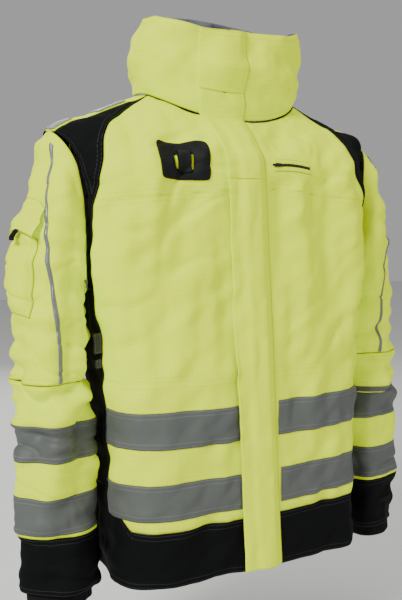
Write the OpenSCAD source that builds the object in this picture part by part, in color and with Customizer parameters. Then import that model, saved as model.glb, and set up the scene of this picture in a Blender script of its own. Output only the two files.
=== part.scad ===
// High-visibility turnout coat, worn shape, as separate cut pieces of cloth.
// Origin: middle of the neck opening at the height of the nape seam.
// +X is the wearer's left, -Y the front, +Z up. Millimetres.

/* [Body] */
// Length from the nape seam down to the hem
body_len = 704; // [620:1:800]
// Width at the hem
hem_w = 400; // [340:1:480]
// Width at the waist
waist_w = 412; // [350:1:490]
// Width at the armpits
chest_w = 436; // [370:1:500]
// Width from shoulder point to shoulder point
shoulder_w = 524; // [450:1:600]
// Depth of the front half, from the middle plane to the front
front_depth = 128; // [100:1:160]
// Depth of the back half
back_depth = 104; // [80:1:130]
// How far the shoulder points lie below the nape seam
shoulder_drop = 82; // [60:1:110]
// Height of the armhole
armhole_h = 218; // [190:1:250]

/* [Neck and collar] */
// Width of the neck seam
neck_w = 256; // [210:1:300]
// Depth of the neck seam in front of the middle
neck_front = 78; // [60:1:95]
// Depth of the neck seam behind the middle
neck_back = 86; // [70:1:105]
// How far the neck seam drops at the front
neck_drop = 66; // [50:1:80]
// How far the neck seam drops at the sides
neck_side_drop = 26; // [15:1:40]
// Height of the collar at the front
collar_front_h = 122; // [80:1:150]
// Height of the collar at the back
collar_back_h = 108; // [70:1:140]
// How far the collar's top leans forward
collar_lean = 20; // [0:1:35]

/* [Sleeves] */
// Height of the cuff's edge below the nape seam
sleeve_end = 706; // [640:1:780]
// Distance of the sleeve's middle line from the coat's middle
sleeve_x = 268; // [264:1:300]
// Width of the sleeve across
sleeve_w = 106; // [90:1:110]
// Depth of the sleeve from front to back
sleeve_d = 116; // [100:1:124]
// Height of the black cuff
cuff_h = 77; // [60:1:90]
// How far the knitted wristlet shows below the cuff
wristlet_out = 18; // [8:1:30]
// Middle height of the elbow below the nape seam
elbow_drop = 476; // [465:1:485]
// Length of the soft zone at the elbow
elbow_zone = 108; // [90:1:112]

/* [Trim] */
// Width of the reflective tape
tape_w = 50; // [40:1:50]
// Space between the two tapes on the body
tape_gap = 48; // [30:1:60]
// Height of the lower tape's lower edge above the hem
tape_up = 93; // [85:1:110]
// Height of the black hem at the front
hem_h = 77; // [60:1:82]
// How much the hem rises towards the side panels
hem_rise = 50; // [0:1:60]
// Width of the storm flap
flap_w = 64; // [56:1:72]
// How far the flap's free edge starts from the middle, at the chest
flap_start = 57; // [50:1:64]
// How much the closing line leans between chest and hem
flap_lean = 25; // [0:1:30]
// Width of the piping on the sleeves
piping_w = 4; // [3:0.5:6]

/* [Cloth] */
// Thickness of the outer cloth
cloth_t = 1.2; // [0.8:0.1:1.8]
// Thickness of the tape
tape_t = 0.6; // [0.4:0.1:1]
// Depth at which the liner hangs inside the cloth
liner_in = 8; // [7:0.5:12]
// Thickness of the quilted liner
liner_t = 2.4; // [1.5:0.1:4]
// Space left along seams
seam_gap = 0.6; // [0.4:0.1:1]

/* [Fittings] */
// Width of the radio patch
patch_w = 68; // [50:1:80]
// Height of the radio patch
patch_h = 52; // [40:1:60]
// Width of the zip's row of teeth
teeth_w = 6; // [4:0.5:8]
// Length of the front slider
slider_len = 16; // [12:1:20]
// Length of the slider's pull, which hangs under the flap
pull_len = 34; // [24:1:44]
// Radius of the hole in the pull
pull_hole_r = 2.5; // [2:0.1:3]
// Width of the chest pocket's mouth
pocket_mouth = 62; // [50:1:75]

/* [Hidden] */

yellow = "#d8ef3a";
black = "#22242a";
grey = "#8d9296";
silver = "#b9bdc2";

tip_z = -shoulder_drop;
pit_z = -shoulder_drop - armhole_h;
hem_z = -body_len;
hem_top_z = hem_z + hem_h;
hang = pit_z - hem_z;

// Stations up the body. Each holds: height at the side, at the front and at the back,
// half width, front depth, back depth, roundness of the front and of the back.
STATIONS = [
    [hem_z, hem_z, hem_z, hem_w / 2, front_depth, back_depth, 4.5, 2.3],
    [hem_z + hang / 3, hem_z + hang / 3, hem_z + hang / 3,
        (hem_w + waist_w) / 4, front_depth, back_depth + 1, 4.5, 2.3],
    [hem_z + hang * 2 / 3, hem_z + hang * 2 / 3, hem_z + hang * 2 / 3,
        waist_w / 2, front_depth, back_depth + 2, 4.4, 2.3],
    [pit_z, pit_z, pit_z, chest_w / 2, front_depth, back_depth + 4, 4, 2.4],
    [pit_z + armhole_h * 0.4, -196, pit_z + armhole_h * 0.5,
        chest_w / 2 + 16, front_depth, back_depth + 6, 3.4, 2.5],
    [pit_z + armhole_h * 0.75, -134, -118,
        shoulder_w / 2 - 12, front_depth - 1, back_depth + 3, 2.9, 2.4],
    [tip_z, -neck_drop - 28, -62, shoulder_w / 2, front_depth - 23, back_depth - 2, 2.4, 2.2],
    [(tip_z - neck_side_drop) / 2, -neck_drop - 8, -20,
        (shoulder_w + neck_w) / 4 + 4, neck_front + 10, neck_back + 6, 2.2, 2.1],
    [-neck_side_drop, -neck_drop, 0, neck_w / 2, neck_front, neck_back, 2.2, 2.1]
];
PIT = 3;
TIP = 6;
NECK = 8;

function mix(a, b, t) = a + (b - a) * t;
function clamp01(t) = min(1, max(0, t));
function ease(t) = let (c = clamp01(t)) c * c * (3 - 2 * c);

// A smooth curve through a list of values or points, one unit of s apart.
function along(list, s) =
    let (last = len(list) - 1,
        i = max(0, min(floor(s), last - 1)),
        t = s - i,
        a = list[max(i - 1, 0)], b = list[i], c = list[i + 1], d = list[min(i + 2, last)])
    0.5 * (2 * b + (c - a) * t + (2 * a - 5 * b + 4 * c - d) * t * t
        + (3 * b - 3 * c + d - a) * t * t * t);

// Radius of a rounded rectangle's outline in the direction phi from the front.
function outline_r(phi, a, b, n) =
    pow(pow(abs(sin(phi)) / a, n) + pow(abs(cos(phi)) / b, n), -1 / n);

function body_pt(s, phi) =
    let (q = along(STATIONS, s), front = cos(phi) >= 0,
        b = front ? q[4] : q[5], n = front ? q[6] : q[7],
        r = outline_r(phi, q[3], b, n), c = abs(r * cos(phi)) / b)
    [r * sin(phi), -r * cos(phi), mix(q[0], front ? q[1] : q[2], c * c)];

// A point of the body, d outside its surface.
function body(s, phi, d) =
    let (e = 0.02,
        du = body_pt(s, phi + e) - body_pt(s, phi - e),
        dv = body_pt(s + e / 10, phi) - body_pt(s - e / 10, phi),
        n = cross(du, dv))
    body_pt(s, phi) + d * n / norm(n);

// The station at which the front middle lies at height z.
function s_at(z, lo = 0, hi = NECK, left = 16) =
    left == 0 ? (lo + hi) / 2
    : let (m = (lo + hi) / 2)
        body_pt(m, 0)[2] < z ? s_at(z, m, hi, left - 1) : s_at(z, lo, m, left - 1);

// Direction in which the front surface has the side distance x at station s.
function phi_at(s, x) =
    let (q = along(STATIONS, s))
    atan2(x, q[4] * pow(1 - pow(min(0.98, abs(x) / q[3]), q[6]), 1 / q[6]));

function front(s, x, d) = body(s, phi_at(s, x), d);

// The closing line: the flap's free edge, its sewn edge and the zip between them.
lean_from = -120;
function free_x(z) = -flap_start + flap_lean * (lean_from - z) / (body_len + lean_from);
function sewn_x(z) = free_x(z) + flap_w;
zip_share = 0.5;
function zip_x(z) = free_x(z) + flap_w * zip_share;

// Seams of the cut pieces, as directions that change with the station.
FRONT_SEAM = [78, 78, 78, 78.5, 74, 67, 68.5, 73, 76.5];
BACK_SEAM = [103, 103, 103, 103.5, 106, 108, 109, 110, 112];
arm_front = 15;
arm_back = 14;
arm_mid = (PIT + TIP) / 2;
arm_half = (TIP - PIT) / 2;
function arm_bow(s) = sqrt(max(0, 1 - pow((s - arm_mid) / arm_half, 2)));
function front_edge(s) =
    s < TIP ? min(90 - arm_front * arm_bow(s), mix(90, 86.5, (s - PIT) / (TIP - PIT)))
    : mix(86.5, 78.5, (s - TIP) / (NECK - TIP));
function back_edge(s) =
    s < TIP ? max(90 + arm_back * arm_bow(s), mix(90, 93.5, (s - PIT) / (TIP - PIT)))
    : mix(93.5, 108, (s - TIP) / (NECK - TIP));

// The hem's upper edge rises where it meets the side panels, over this many degrees.
hem_turn = 16;
function hem_s(phi) =
    let (off = min(abs(phi - FRONT_SEAM[0]), abs(BACK_SEAM[0] - phi)),
        inside = phi > FRONT_SEAM[0] && phi < BACK_SEAM[0])
    s_at(hem_top_z + hem_rise * (inside ? 1 : 1 - ease(off / hem_turn)));

// Angle that a length covers at a place, and the share of a station for a length.
function gap_deg(r) = seam_gap / 2 / r * 57.3;
gap_s = seam_gap / 140;

// ---- sheets of cloth -------------------------------------------------------

// A sheet whose outside is f(u, v, outer) and whose inside is f(u, v, inner).
// shut joins the last column to the first, which makes a tube.
module sheet(f, nu, nv, inner, outer, shut = false) {
    row = shut ? nu : nu + 1;
    half = row * (nv + 1);
    points = [for (d = [outer, inner], j = [0:nv], i = [0:row - 1]) f(i / nu, j / nv, d)];
    function o(i, j) = j * row + (shut ? i % nu : i);
    function n(i, j) = half + o(i, j);
    skin = [for (j = [0:nv - 1], i = [0:nu - 1]) each [
        [o(i, j), o(i, j + 1), o(i + 1, j + 1)], [o(i, j), o(i + 1, j + 1), o(i + 1, j)],
        [n(i + 1, j + 1), n(i, j + 1), n(i, j)], [n(i + 1, j), n(i + 1, j + 1), n(i, j)]]];
    ends = [for (i = [0:nu - 1]) each [
        [o(i, 0), o(i + 1, 0), n(i + 1, 0)], [o(i, 0), n(i + 1, 0), n(i, 0)],
        [o(i + 1, nv), o(i, nv), n(i, nv)], [o(i + 1, nv), n(i, nv), n(i + 1, nv)]]];
    sides = shut ? [] : [for (j = [0:nv - 1]) each [
        [o(0, j + 1), o(0, j), n(0, j)], [o(0, j + 1), n(0, j), n(0, j + 1)],
        [o(nu, j), o(nu, j + 1), n(nu, j + 1)], [o(nu, j), n(nu, j + 1), n(nu, j)]]];
    polyhedron(points, concat(skin, ends, sides), convexity = 6);
}

// A piece of the body between two directions and two stations.
module body_sheet(from, to, low, high, nu, nv, inner = -cloth_t, outer = 0) {
    sheet(function(u, v, d)
        let (guess = mix(from(0), to(0), u),
            s = mix(low(guess), high, v))
        body(s, mix(from(s), to(s), u), d), nu, nv, inner, outer);
}

// The same on the wearer's left or right: the seams there mirror each other.
module half_front(side, low, high, nu, nv, inner, outer, edge) {
    sheet(function(u, v, d)
        let (w = side > 0 ? u : 1 - u,
            s0 = low(mix(2, FRONT_SEAM[0], w)),
            s = mix(s0, high, v), z = body_pt(s, 0)[2],
            near = phi_at(s, zip_x(z) + side * edge),
            far = side * (along(FRONT_SEAM, s) - gap_deg(180)))
        body(s, mix(near, far, w), d), nu, nv, inner, outer);
}

zip_edge = 5;
panel_cols = 14;
module front_panel(side) {
    color(yellow) half_front(side, function(p) hem_s(p) + gap_s, NECK - gap_s * 3,
        panel_cols, 14, -cloth_t, 0, zip_edge);
}

module back_sheet(low, high, nu, nv, inner, outer) {
    sheet(function(u, v, d)
        let (w = abs(2 * u - 1), s0 = low(mix(180, BACK_SEAM[0], w)),
            s = mix(s0, high, v), reach = 180 - along(BACK_SEAM, s) - gap_deg(180))
        body(s, 180 + reach * (2 * u - 1), d), nu, nv, inner, outer);
}

module side_panel(side) {
    color(black) mirror([side < 0 ? 1 : 0, 0, 0]) {
        sheet(function(u, v, d)
            let (s0 = hem_s(90) + gap_s, s = mix(s0, PIT - gap_s * 3, v))
            body(s, mix(along(FRONT_SEAM, s) + gap_deg(200),
                along(BACK_SEAM, s) - gap_deg(200), u), d), 4, 6, -cloth_t, 0);
        sheet(function(u, v, d)
            let (s = mix(PIT + gap_s * 3, NECK - gap_s * 3, v))
            body(s, mix(along(FRONT_SEAM, s) + gap_deg(200), front_edge(s) - gap_deg(120), u), d),
            3, 14, -cloth_t, 0);
        sheet(function(u, v, d)
            let (s = mix(PIT + gap_s * 3, NECK - gap_s * 3, v))
            body(s, mix(back_edge(s) + gap_deg(120), along(BACK_SEAM, s) - gap_deg(200), u), d),
            3, 14, -cloth_t, 0);
    }
}

module yoke(side) {
    color(yellow) mirror([side < 0 ? 1 : 0, 0, 0])
        sheet(function(u, v, d)
            let (s = mix(TIP + gap_s * 2, NECK - gap_s * 3, v))
            body(s, mix(front_edge(s) + gap_deg(80), back_edge(s) - gap_deg(80), u), d),
            4, 8, -cloth_t, 0);
}

// Two bars of tape over each shoulder.
YOKE_BARS = [[6.08, 6.5], [7.02, 7.5]];
tape_lift = 1.3;
module yoke_tapes() {
    color(grey) for (side = [-1, 1]) mirror([side < 0 ? 1 : 0, 0, 0])
        for (bar = YOKE_BARS)
            sheet(function(u, v, d)
                let (s = mix(bar[0], bar[1], v))
                body(s, mix(front_edge(s) + 1, back_edge(s) - 1, u), d),
                4, 2, tape_lift, tape_lift + tape_t);
}

module hem_front(side) {
    color(black) sheet(function(u, v, d)
        let (w = side > 0 ? u : 1 - u, p = mix(2, 90, w), s = mix(0, hem_s(p) - gap_s * 4, v),
            near = phi_at(s, zip_x(hem_z) + side * zip_edge))
        body(s, side * mix(side * near, 90 - gap_deg(200), w), d), 16, 2, -cloth_t, 0);
}

module hem_back() {
    color(black) sheet(function(u, v, d)
        let (phi = mix(90 + gap_deg(200), 270 - gap_deg(200), u),
            s = mix(0, hem_s(phi > 180 ? 360 - phi : phi) - gap_s * 4, v))
        body(s, phi, d), 24, 2, -cloth_t, 0);
}

// Heights of the two tapes round the body.
TAPES_Z = [hem_z + tape_up, hem_z + tape_up + tape_w + tape_gap];
flap_clear = 3;
module front_tapes(side) {
    color(grey) for (z = TAPES_Z) sheet(function(u, v, d)
        let (w = side > 0 ? u : 1 - u, s = s_at(z + tape_w * v),
            near = side > 0 ? phi_at(s, sewn_x(z) + flap_clear)
                : phi_at(s, zip_x(z) - 19))
        body(s, mix(near, side * (along(FRONT_SEAM, s) - 0.6), w), d),
        panel_cols, 1, tape_lift, tape_lift + tape_t);
}

module back_tapes() {
    color(grey) for (z = TAPES_Z) sheet(function(u, v, d)
        let (s = s_at(z + tape_w * v), reach = 180 - along(BACK_SEAM, s) - 0.6)
        body(s, 180 + reach * (2 * u - 1), d), 18, 1, tape_lift, tape_lift + tape_t);
}

// ---- collar ----------------------------------------------------------------

// The collar's surface: h goes from 0 at the neck seam to 1 at its top edge.
function collar_pt(h, phi) =
    let (base = body_pt(NECK, phi), c = cos(phi),
        rise = c > 0 ? mix(collar_back_h - 2, collar_front_h, c * c)
            : mix(collar_back_h - 2, collar_back_h, c * c),
        swell = 1 - 0.03 * h + 0.05 * sin(180 * h))
    [base[0] * swell, base[1] * swell - collar_lean * h, base[2] + 1.2 + rise * h];
function collar(h, phi, d) =
    let (e = 0.02,
        du = collar_pt(h, phi + e) - collar_pt(h, phi - e),
        dv = collar_pt(h + e / 10, phi) - collar_pt(h - e / 10, phi),
        n = cross(du, dv))
    collar_pt(h, phi) + d * n / norm(n);

// The collar opens between these directions, under its flap.
collar_open = -21;
collar_slit = 1.5;
module collar_sheet(inner, outer) {
    sheet(function(u, v, d)
        collar(v, mix(collar_open + collar_slit, 360 + collar_open - collar_slit, u), d),
        30, 4, inner, outer);
}
module collar_shell() { color(yellow) collar_sheet(-cloth_t, 0); }
module collar_lining() { color(grey) collar_sheet(-cloth_t - 0.7 - liner_t, -cloth_t - 0.7); }

// ---- liner -----------------------------------------------------------------

// The liner comes up to the outer cloth along its edges, where it is sewn in.
function sewn_in(u, v) = (liner_in - cloth_t - 1.2) * (1 - ease(5 * min(u, 1 - u, v, 1 - v)));

module liner_front(side) {
    color(grey) sheet(function(u, v, d)
        let (w = side > 0 ? u : 1 - u, s = mix(s_at(hem_z + 40), NECK - 0.12, v),
            near = phi_at(s, zip_x(body_pt(s, 0)[2]) + side * zip_edge),
            far = side * (along(FRONT_SEAM, s) - gap_deg(180)))
        body(s, mix(near, far, w), d + sewn_in(u, v)), panel_cols, 14,
        -liner_in - liner_t, -liner_in);
}
module liner_back() {
    color(grey) sheet(function(u, v, d)
        let (s = mix(s_at(hem_z + 40), NECK - 0.12, v), reach = 180 - along(BACK_SEAM, s))
        body(s, 180 + reach * (2 * u - 1), d + sewn_in(u, v)), 18, 14,
        -liner_in - liner_t, -liner_in);
}

// ---- front zip -------------------------------------------------------------

zip_top_z = -142;
zip_low_z = hem_z + 16;
ZIP_TOP = front(s_at(zip_top_z), zip_x(zip_top_z), 0);
ZIP_LOW = front(s_at(zip_low_z), zip_x(zip_low_z), 0);
ZIP_DIR = (ZIP_LOW - ZIP_TOP) / norm(ZIP_LOW - ZIP_TOP);
zip_lift = 3;
function zip_pt(t, across, out) = mix(ZIP_TOP, ZIP_LOW, t) + [across, -out, 0];

// A straight bar that follows the closing line.
module zip_bar(x0, x1, out0, out1, t0 = 0, t1 = 1) {
    sheet(function(u, v, d) zip_pt(mix(t1, t0, v), mix(x0, x1, u), d), 1, 1, out0, out1);
}
module zip_tape(side) {
    color(black) zip_bar(side > 0 ? 0.4 : -15, side > 0 ? 15 : -0.4, zip_lift - 2.1, zip_lift - 1.3);
}
module zip_teeth() {
    color(black) {
        zip_bar(0.2, teeth_w / 2, zip_lift - 1, zip_lift + 1.1);
        zip_bar(-teeth_w / 2, -0.2, zip_lift - 1, zip_lift + 1.1);
    }
}
module zip_box() {
    color(black) translate(zip_pt(1, 0, zip_lift)) translate([-6, -2, -12]) cube([12, 4, 11.5]);
}

// Frame of the slider: z along the zip, y towards the coat.
module on_zip(t, out) {
    tilt_x = atan2(-ZIP_DIR[0], -ZIP_DIR[2]);
    tilt_y = atan2(-ZIP_DIR[1], -ZIP_DIR[2]);
    translate(zip_pt(t, 0, out)) rotate([-tilt_y, tilt_x, 0]) children();
}
lug_out = 1.8;
slider_lift = zip_lift + 1.4;
module zip_slider() {
    color(silver) on_zip(0, slider_lift) {
        difference() {
            translate([-teeth_w / 2 - 2, -1.6, -slider_len]) cube([teeth_w + 4, 3.6, slider_len]);
            translate([-teeth_w / 2 - 0.4, -0.1, -slider_len - 1])
                cube([teeth_w + 0.8, 2.6, slider_len + 2]);
        }
        for (z = [-4, -slider_len + 4]) translate([-1, -1.6 - lug_out, z - 1])
            cube([2, lug_out + 0.4, 2]);
        translate([-1, -2.6 - lug_out, -slider_len + 3]) cube([2, 1, slider_len - 6]);
    }
}
pull_out = 2.5;
module zip_pull() {
    color(black) on_zip(0, slider_lift) translate([0, -pull_out, -6]) {
        difference() {
            union() {
                for (x = [-3, 1.4]) translate([x, -0.5, -pull_len + 8]) cube([1.6, 1, pull_len - 8]);
                translate([-3, -0.5, -0.6]) cube([6, 1, 1.4]);
                translate([-4, -0.9, -pull_len]) cube([8, 1.8, 12]);
            }
            translate([0, 2, -pull_len + 5]) rotate([90, 0, 0]) cylinder(r = pull_hole_r, h = 4, $fn = 48);
        }
    }
}

// ---- storm flap ------------------------------------------------------------

flap_top_z = -152;
root_lift = 1.7;
edge_lift = 5;
arch_lift = 9.2;
// Height of the flap's inside above the body: low at both edges, arched over the zip.
function flap_arch(u) =
    u > 0.74 ? mix(arch_lift, root_lift, ease((u - 0.74) / 0.26))
    : mix(edge_lift, arch_lift, ease((u - 0.24) / 0.2));
function flap_on_body(z, u, d) =
    let (s = s_at(z)) front(s, mix(free_x(z), sewn_x(z), u), flap_arch(u) + d);
function flap_chord(z, u, d) =
    let (t = (zip_top_z - z) / (zip_top_z - zip_low_z))
    [mix(free_x(z), sewn_x(z), u), zip_pt(t, 0, flap_arch(u) + d)[1], z];
module storm_flap() {
    color(yellow) sheet(function(u, v, d) flap_chord(mix(hem_z + 2, flap_top_z, v), u, d),
        10, 4, 0, cloth_t);
}
// The flap's soft stretch over the neck seam, which stays joined when it is opened.
collar_free = -43;
collar_sewn = 2;
throat_h = 0.3;
function flap_on_collar(h, u, d) =
    let (phi = mix(collar_free - 4 * h, collar_sewn, u)) collar(h, phi, mix(2.6, 0.7, ease(u * 4 - 3)) + d);
module flap_throat() {
    color(yellow) {
        sheet(function(u, v, d)
            let (z = mix(flap_top_z + 0.6, -neck_drop - 4, v),
                low = flap_chord(z, u, d), high = flap_on_body(z, u, d),
                fade = ease(v * 1.6))
            [mix(low[0], high[0], fade), mix(low[1], high[1] + mix(0, flap_arch(u) * 0.3, v), fade), z],
            8, 7, 0, cloth_t);
        sheet(function(u, v, d) flap_on_collar(mix(0.01, throat_h - 0.01, v), u, d),
            6, 2, 0, cloth_t);
    }
}
module collar_flap() {
    color(yellow) sheet(function(u, v, d) flap_on_collar(mix(throat_h, 0.985, v), u, d),
        6, 4, 0, cloth_t);
}
module flap_hook_tape() {
    color(black) sheet(function(u, v, d)
        let (z = mix(hem_z + 30, flap_top_z - 20, v), w = mix(0.04, 0.22, u))
        flap_chord(z, w, d), 1, 3, -1.1, -0.4);
}
module front_loop_tape() {
    color(black) sheet(function(u, v, d)
        let (z = mix(hem_z + 30, flap_top_z - 20, v), s = s_at(z))
        front(s, mix(free_x(z) + 2.5, free_x(z) + 14, u), d), 1, 8, 2.3, 2.8);
}

// ---- chest fittings --------------------------------------------------------

patch_x = -113;
patch_z = -127;
patch_tilt = 3;
function on_chest(x, z, d) = let (s = s_at(z)) front(s, x, d);
// A point of the patch: its own plane, turned by its tilt, laid on the chest.
function patch_pt(px, pz, d) =
    on_chest(patch_x + px * cos(patch_tilt) + pz * sin(patch_tilt),
        patch_z - px * sin(patch_tilt) + pz, d);
slot_x = 11;
slot_w = 5;
slot_h = 22;
module mic_patch() {
    lift = 0.8;
    color(black) {
        for (side = [-1, 1]) sheet(function(u, v, d)
            patch_pt(mix(side > 0 ? slot_x + slot_w / 2 : -patch_w / 2,
                side > 0 ? patch_w / 2 : -slot_x - slot_w / 2, u), mix(-patch_h / 2, patch_h / 2, v), d),
            4, 5, lift, lift + 1.6);
        for (side = [-1, 1]) sheet(function(u, v, d)
            patch_pt(mix(-slot_x - slot_w / 2 + 0.3, slot_x + slot_w / 2 - 0.3, u),
                side * mix(slot_h / 2, patch_h / 2, side > 0 ? v : 1 - v), d),
            2, 2, lift, lift + 1.6);
    }
}
// A raised strap in the middle of the patch that a radio clip slides onto.
module mic_loop() {
    half = slot_x - slot_w / 2;
    color(black) sheet(function(u, v, d)
        let (pz = mix(-slot_h / 2 - 5, slot_h / 2 + 5, v), bow = pow(sin(180 * v), 0.5))
        patch_pt(mix(-half, half, u), pz, 2.7 + 6 * bow + d), 2, 10, 0, 1.2);
}

pocket_x = 55;
pocket_z = -131;
function mouth_x(t) = pocket_x + (t - 0.5) * pocket_mouth;
function mouth_z(t) = pocket_z + 1.2 * sin(180 * t) - 3 * t * t;
module chest_zip() {
    color(black) sheet(function(u, v, d) on_chest(mouth_x(u), mouth_z(u) + mix(-3, 3, v), d),
        6, 1, 0.5, 1.3);
}
module chest_zip_slider() {
    at = on_chest(mouth_x(0) + 4, mouth_z(0), 3.2);
    color(black) translate(at) rotate([20, 0, 0]) {
        translate([-4, -1.6, -2.5]) cube([8, 1.8, 5]);
        translate([-9, -1.4, -1.5]) cube([4.8, 1.2, 3]);
    }
}
module chest_pocket_bag() {
    color(black) sheet(function(u, v, d)
        on_chest(mix(mouth_x(0) - 2, mouth_x(1) + 30, u), mix(pocket_z - 150, pocket_z - 2, v), d),
        6, 8, -4.1, -2.7);
}

module hang_loop() {
    loop_w = 60;
    color(black) sheet(function(u, v, d)
        let (a = 180 * u, p = body_pt(NECK, 180))
        [mix(loop_w / 2 - 8, loop_w / 2, v) * cos(a), p[1] - cloth_t - liner_t - 3.2 - d,
            -2 - mix(18, 26, v) * sin(a)], 12, 1, 0, 1.4);
}

// Label and tab at the end of the side seam on the wearer's right.
module at_side_seam(z) {
    s = s_at(z);
    translate(body(s, -along(FRONT_SEAM, s), 1.3)) children();
}
module side_label() {
    color(black) at_side_seam(-374) translate([-12, -0.6, -14]) cube([12, 1.2, 28]);
}
module side_tab() {
    color(black) at_side_seam(-402) rotate([0, 20, 0]) translate([-11.5, -1, -6]) cube([9, 1.2, 12]);
}

// ---- sleeves ---------------------------------------------------------------

hole_in = 0.5;
// Rings down the sleeve, each a middle point, a vector to its outside and a half depth.
sleeve_y = -8;
SLEEVE = [
    [[0, 0, 0], [0, 0, 0], 0],
    [[sleeve_x - 14, sleeve_y, -222], [33, 0, 84], sleeve_d / 2 + 8],
    [[sleeve_x - 3, sleeve_y, -278], [43, 0, 25], sleeve_d / 2 + 5],
    [[sleeve_x, sleeve_y, -360], [sleeve_w / 2 - 2, 0, 20], sleeve_d / 2 + 2],
    [[sleeve_x, sleeve_y - 2, -elbow_drop + elbow_zone / 2], [sleeve_w / 2, 0, 0], sleeve_d / 2],
    [[sleeve_x + 1, sleeve_y - 4, -elbow_drop - elbow_zone / 2], [sleeve_w / 2 + 1, 0, 0], sleeve_d / 2 - 1],
    [[sleeve_x + 2, sleeve_y - 9, -sleeve_end + cuff_h], [sleeve_w / 2 + 1, 0, 0], sleeve_d / 2 - 3],
    [[sleeve_x + 3, sleeve_y - 13, -sleeve_end], [sleeve_w / 2 - 4, 0, 0], sleeve_d / 2 - 8]
];
function sleeve_ring(i, psi) = i == 0
    ? body_pt(arm_mid + (arm_half - 0.03) * cos(psi),
        90 - (sin(psi) > 0 ? arm_front - hole_in : arm_back - hole_in) * sin(psi))
    : SLEEVE[i][0] + SLEEVE[i][1] * cos(psi) + [0, -SLEEVE[i][2] * sin(psi), 0];
function sleeve_pt(k, psi) = along([for (i = [0:7]) sleeve_ring(i, psi)], k);
function sleeve(k, psi, d) =
    let (e = 0.05,
        du = sleeve_pt(k, psi + e) - sleeve_pt(k, psi - e),
        dv = sleeve_pt(k + e / 10, psi) - sleeve_pt(k - e / 10, psi),
        n = cross(du, dv))
    sleeve_pt(k, psi) + d * n / norm(n);
// The place down the sleeve at which its front lies at height z.
function k_at(z, lo = 3, hi = 7, left = 14) =
    left == 0 ? (lo + hi) / 2
    : let (m = (lo + hi) / 2)
        sleeve_pt(m, 90)[2] > z ? k_at(z, m, hi, left - 1) : k_at(z, lo, m, left - 1);

module sleeve_tube(side, k0, k1, nv, inner = -cloth_t, outer = 0, nu = 20) {
    mirror([side < 0 ? 1 : 0, 0, 0])
        sheet(function(u, v, d) sleeve(mix(k0, k1, v), 360 * u, d), nu, nv, inner, outer, true);
}
kg = 0.004;
module sleeve_head(side) { color(yellow) sleeve_tube(side, 0, 2 - kg, 8); }
module sleeve_bend(side) { color(yellow) sleeve_tube(side, 2 + kg, 3 - kg, 4); }
module upper_sleeve(side) { color(yellow) sleeve_tube(side, 3 + kg, 4 - kg, 2); }
module elbow(side) { color(yellow) sleeve_tube(side, 4 + kg, 5 - kg, 4); }
module lower_sleeve(side) { color(yellow) sleeve_tube(side, 5 + kg, 6 - kg, 4); }
module cuff(side) { color(black) sleeve_tube(side, 6 + kg, 7, 3); }
wrist_in = 7;
module wristlet(side) {
    color(black) mirror([side < 0 ? 1 : 0, 0, 0]) sheet(function(u, v, d)
        let (p = sleeve(mix(6.4, 7, min(1, v * 1.25)), 360 * u, d - mix(1.9, wrist_in, ease(v * 3))),
            low = [0, -2, -wristlet_out] * max(0, v - 0.8) / 0.2)
        p + low, 20, 5, -cloth_t - 0.6, 0, true);
}
SLEEVE_TAPES = [-476, -574];
module sleeve_tapes(side) {
    color(grey) for (z = SLEEVE_TAPES)
        sleeve_tube(side, k_at(z), k_at(z - tape_w), 1, tape_lift - 0.5, tape_lift - 0.5 + tape_t);
}
// Piping runs down the front of the sleeve from the shoulder to the elbow.
function pipe_psi(k) = mix(24, 84, ease(k / 3.4));
module piping(side) {
    color(grey) mirror([side < 0 ? 1 : 0, 0, 0])
        for (run = [[0.35, 1.98], [2.02, 2.98], [3.02, 3.98]])
            sheet(function(u, v, d)
                let (k = mix(run[0], run[1], v), half = piping_w / 2 / 60 * 57.3)
                sleeve(k, pipe_psi(k) + mix(-half, half, u), d), 1, 8, 1, 2.2);
}

// Pocket on the wearer's right sleeve, its flap and the flap's pull tab.
pocket_psi = [-44, 40];
module sleeve_pocket() {
    color(yellow) mirror([1, 0, 0]) sheet(function(u, v, d)
        let (k = mix(1.72, 2.86, v), rim = min(1, 6 * min(u, 1 - u, 1 - v) + 0.12))
        sleeve(k, mix(pocket_psi[0], pocket_psi[1], u), 0.6 + 7 * rim + d), 10, 8, 0, cloth_t);
}
module sleeve_pocket_flap() {
    color(yellow) mirror([1, 0, 0]) sheet(function(u, v, d)
        let (k = mix(1.34, 1.7, v))
        sleeve(k, mix(pocket_psi[0] - 2, pocket_psi[1] + 2, u), 1 + 13 * v + d), 8, 3, 0, cloth_t);
}
module sleeve_pocket_tab() {
    color(black) mirror([1, 0, 0]) sheet(function(u, v, d)
        sleeve(mix(1.71, 1.82, v), mix(-2, 10, u), 13.5 + 3 * v + d), 2, 1, 0, 1.4);
}

front_panel(-1);  // right_front
front_panel(1);  // left_front
color(yellow) back_sheet(function(p) hem_s(p) + gap_s, NECK - gap_s * 3, 18, 14, -cloth_t, 0);  // back_panel
side_panel(-1);  // right_side_panel
side_panel(1);  // left_side_panel
yoke(-1);  // right_yoke
yoke(1);  // left_yoke
yoke_tapes();
hem_front(-1);  // hem_right
hem_front(1);  // hem_left
hem_back();
front_tapes(-1);  // front_tapes_right
front_tapes(1);  // front_tapes_left
back_tapes();
collar_shell();
collar_lining();
liner_front(-1);  // liner_right
liner_front(1);  // liner_left
liner_back();
zip_tape(-1);  // zip_tape_right
zip_tape(1);  // zip_tape_left
zip_teeth();
zip_box();
zip_slider();
zip_pull();
storm_flap();
flap_throat();
collar_flap();
flap_hook_tape();
front_loop_tape();
mic_patch();
mic_loop();
chest_zip();
chest_zip_slider();
chest_pocket_bag();
hang_loop();
side_label();
side_tab();
sleeve_pocket();
sleeve_pocket_flap();
sleeve_pocket_tab();
sleeve_head(-1);  // right_sleeve_head
sleeve_head(1);  // left_sleeve_head
sleeve_bend(-1);  // right_sleeve_bend
sleeve_bend(1);  // left_sleeve_bend
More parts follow.
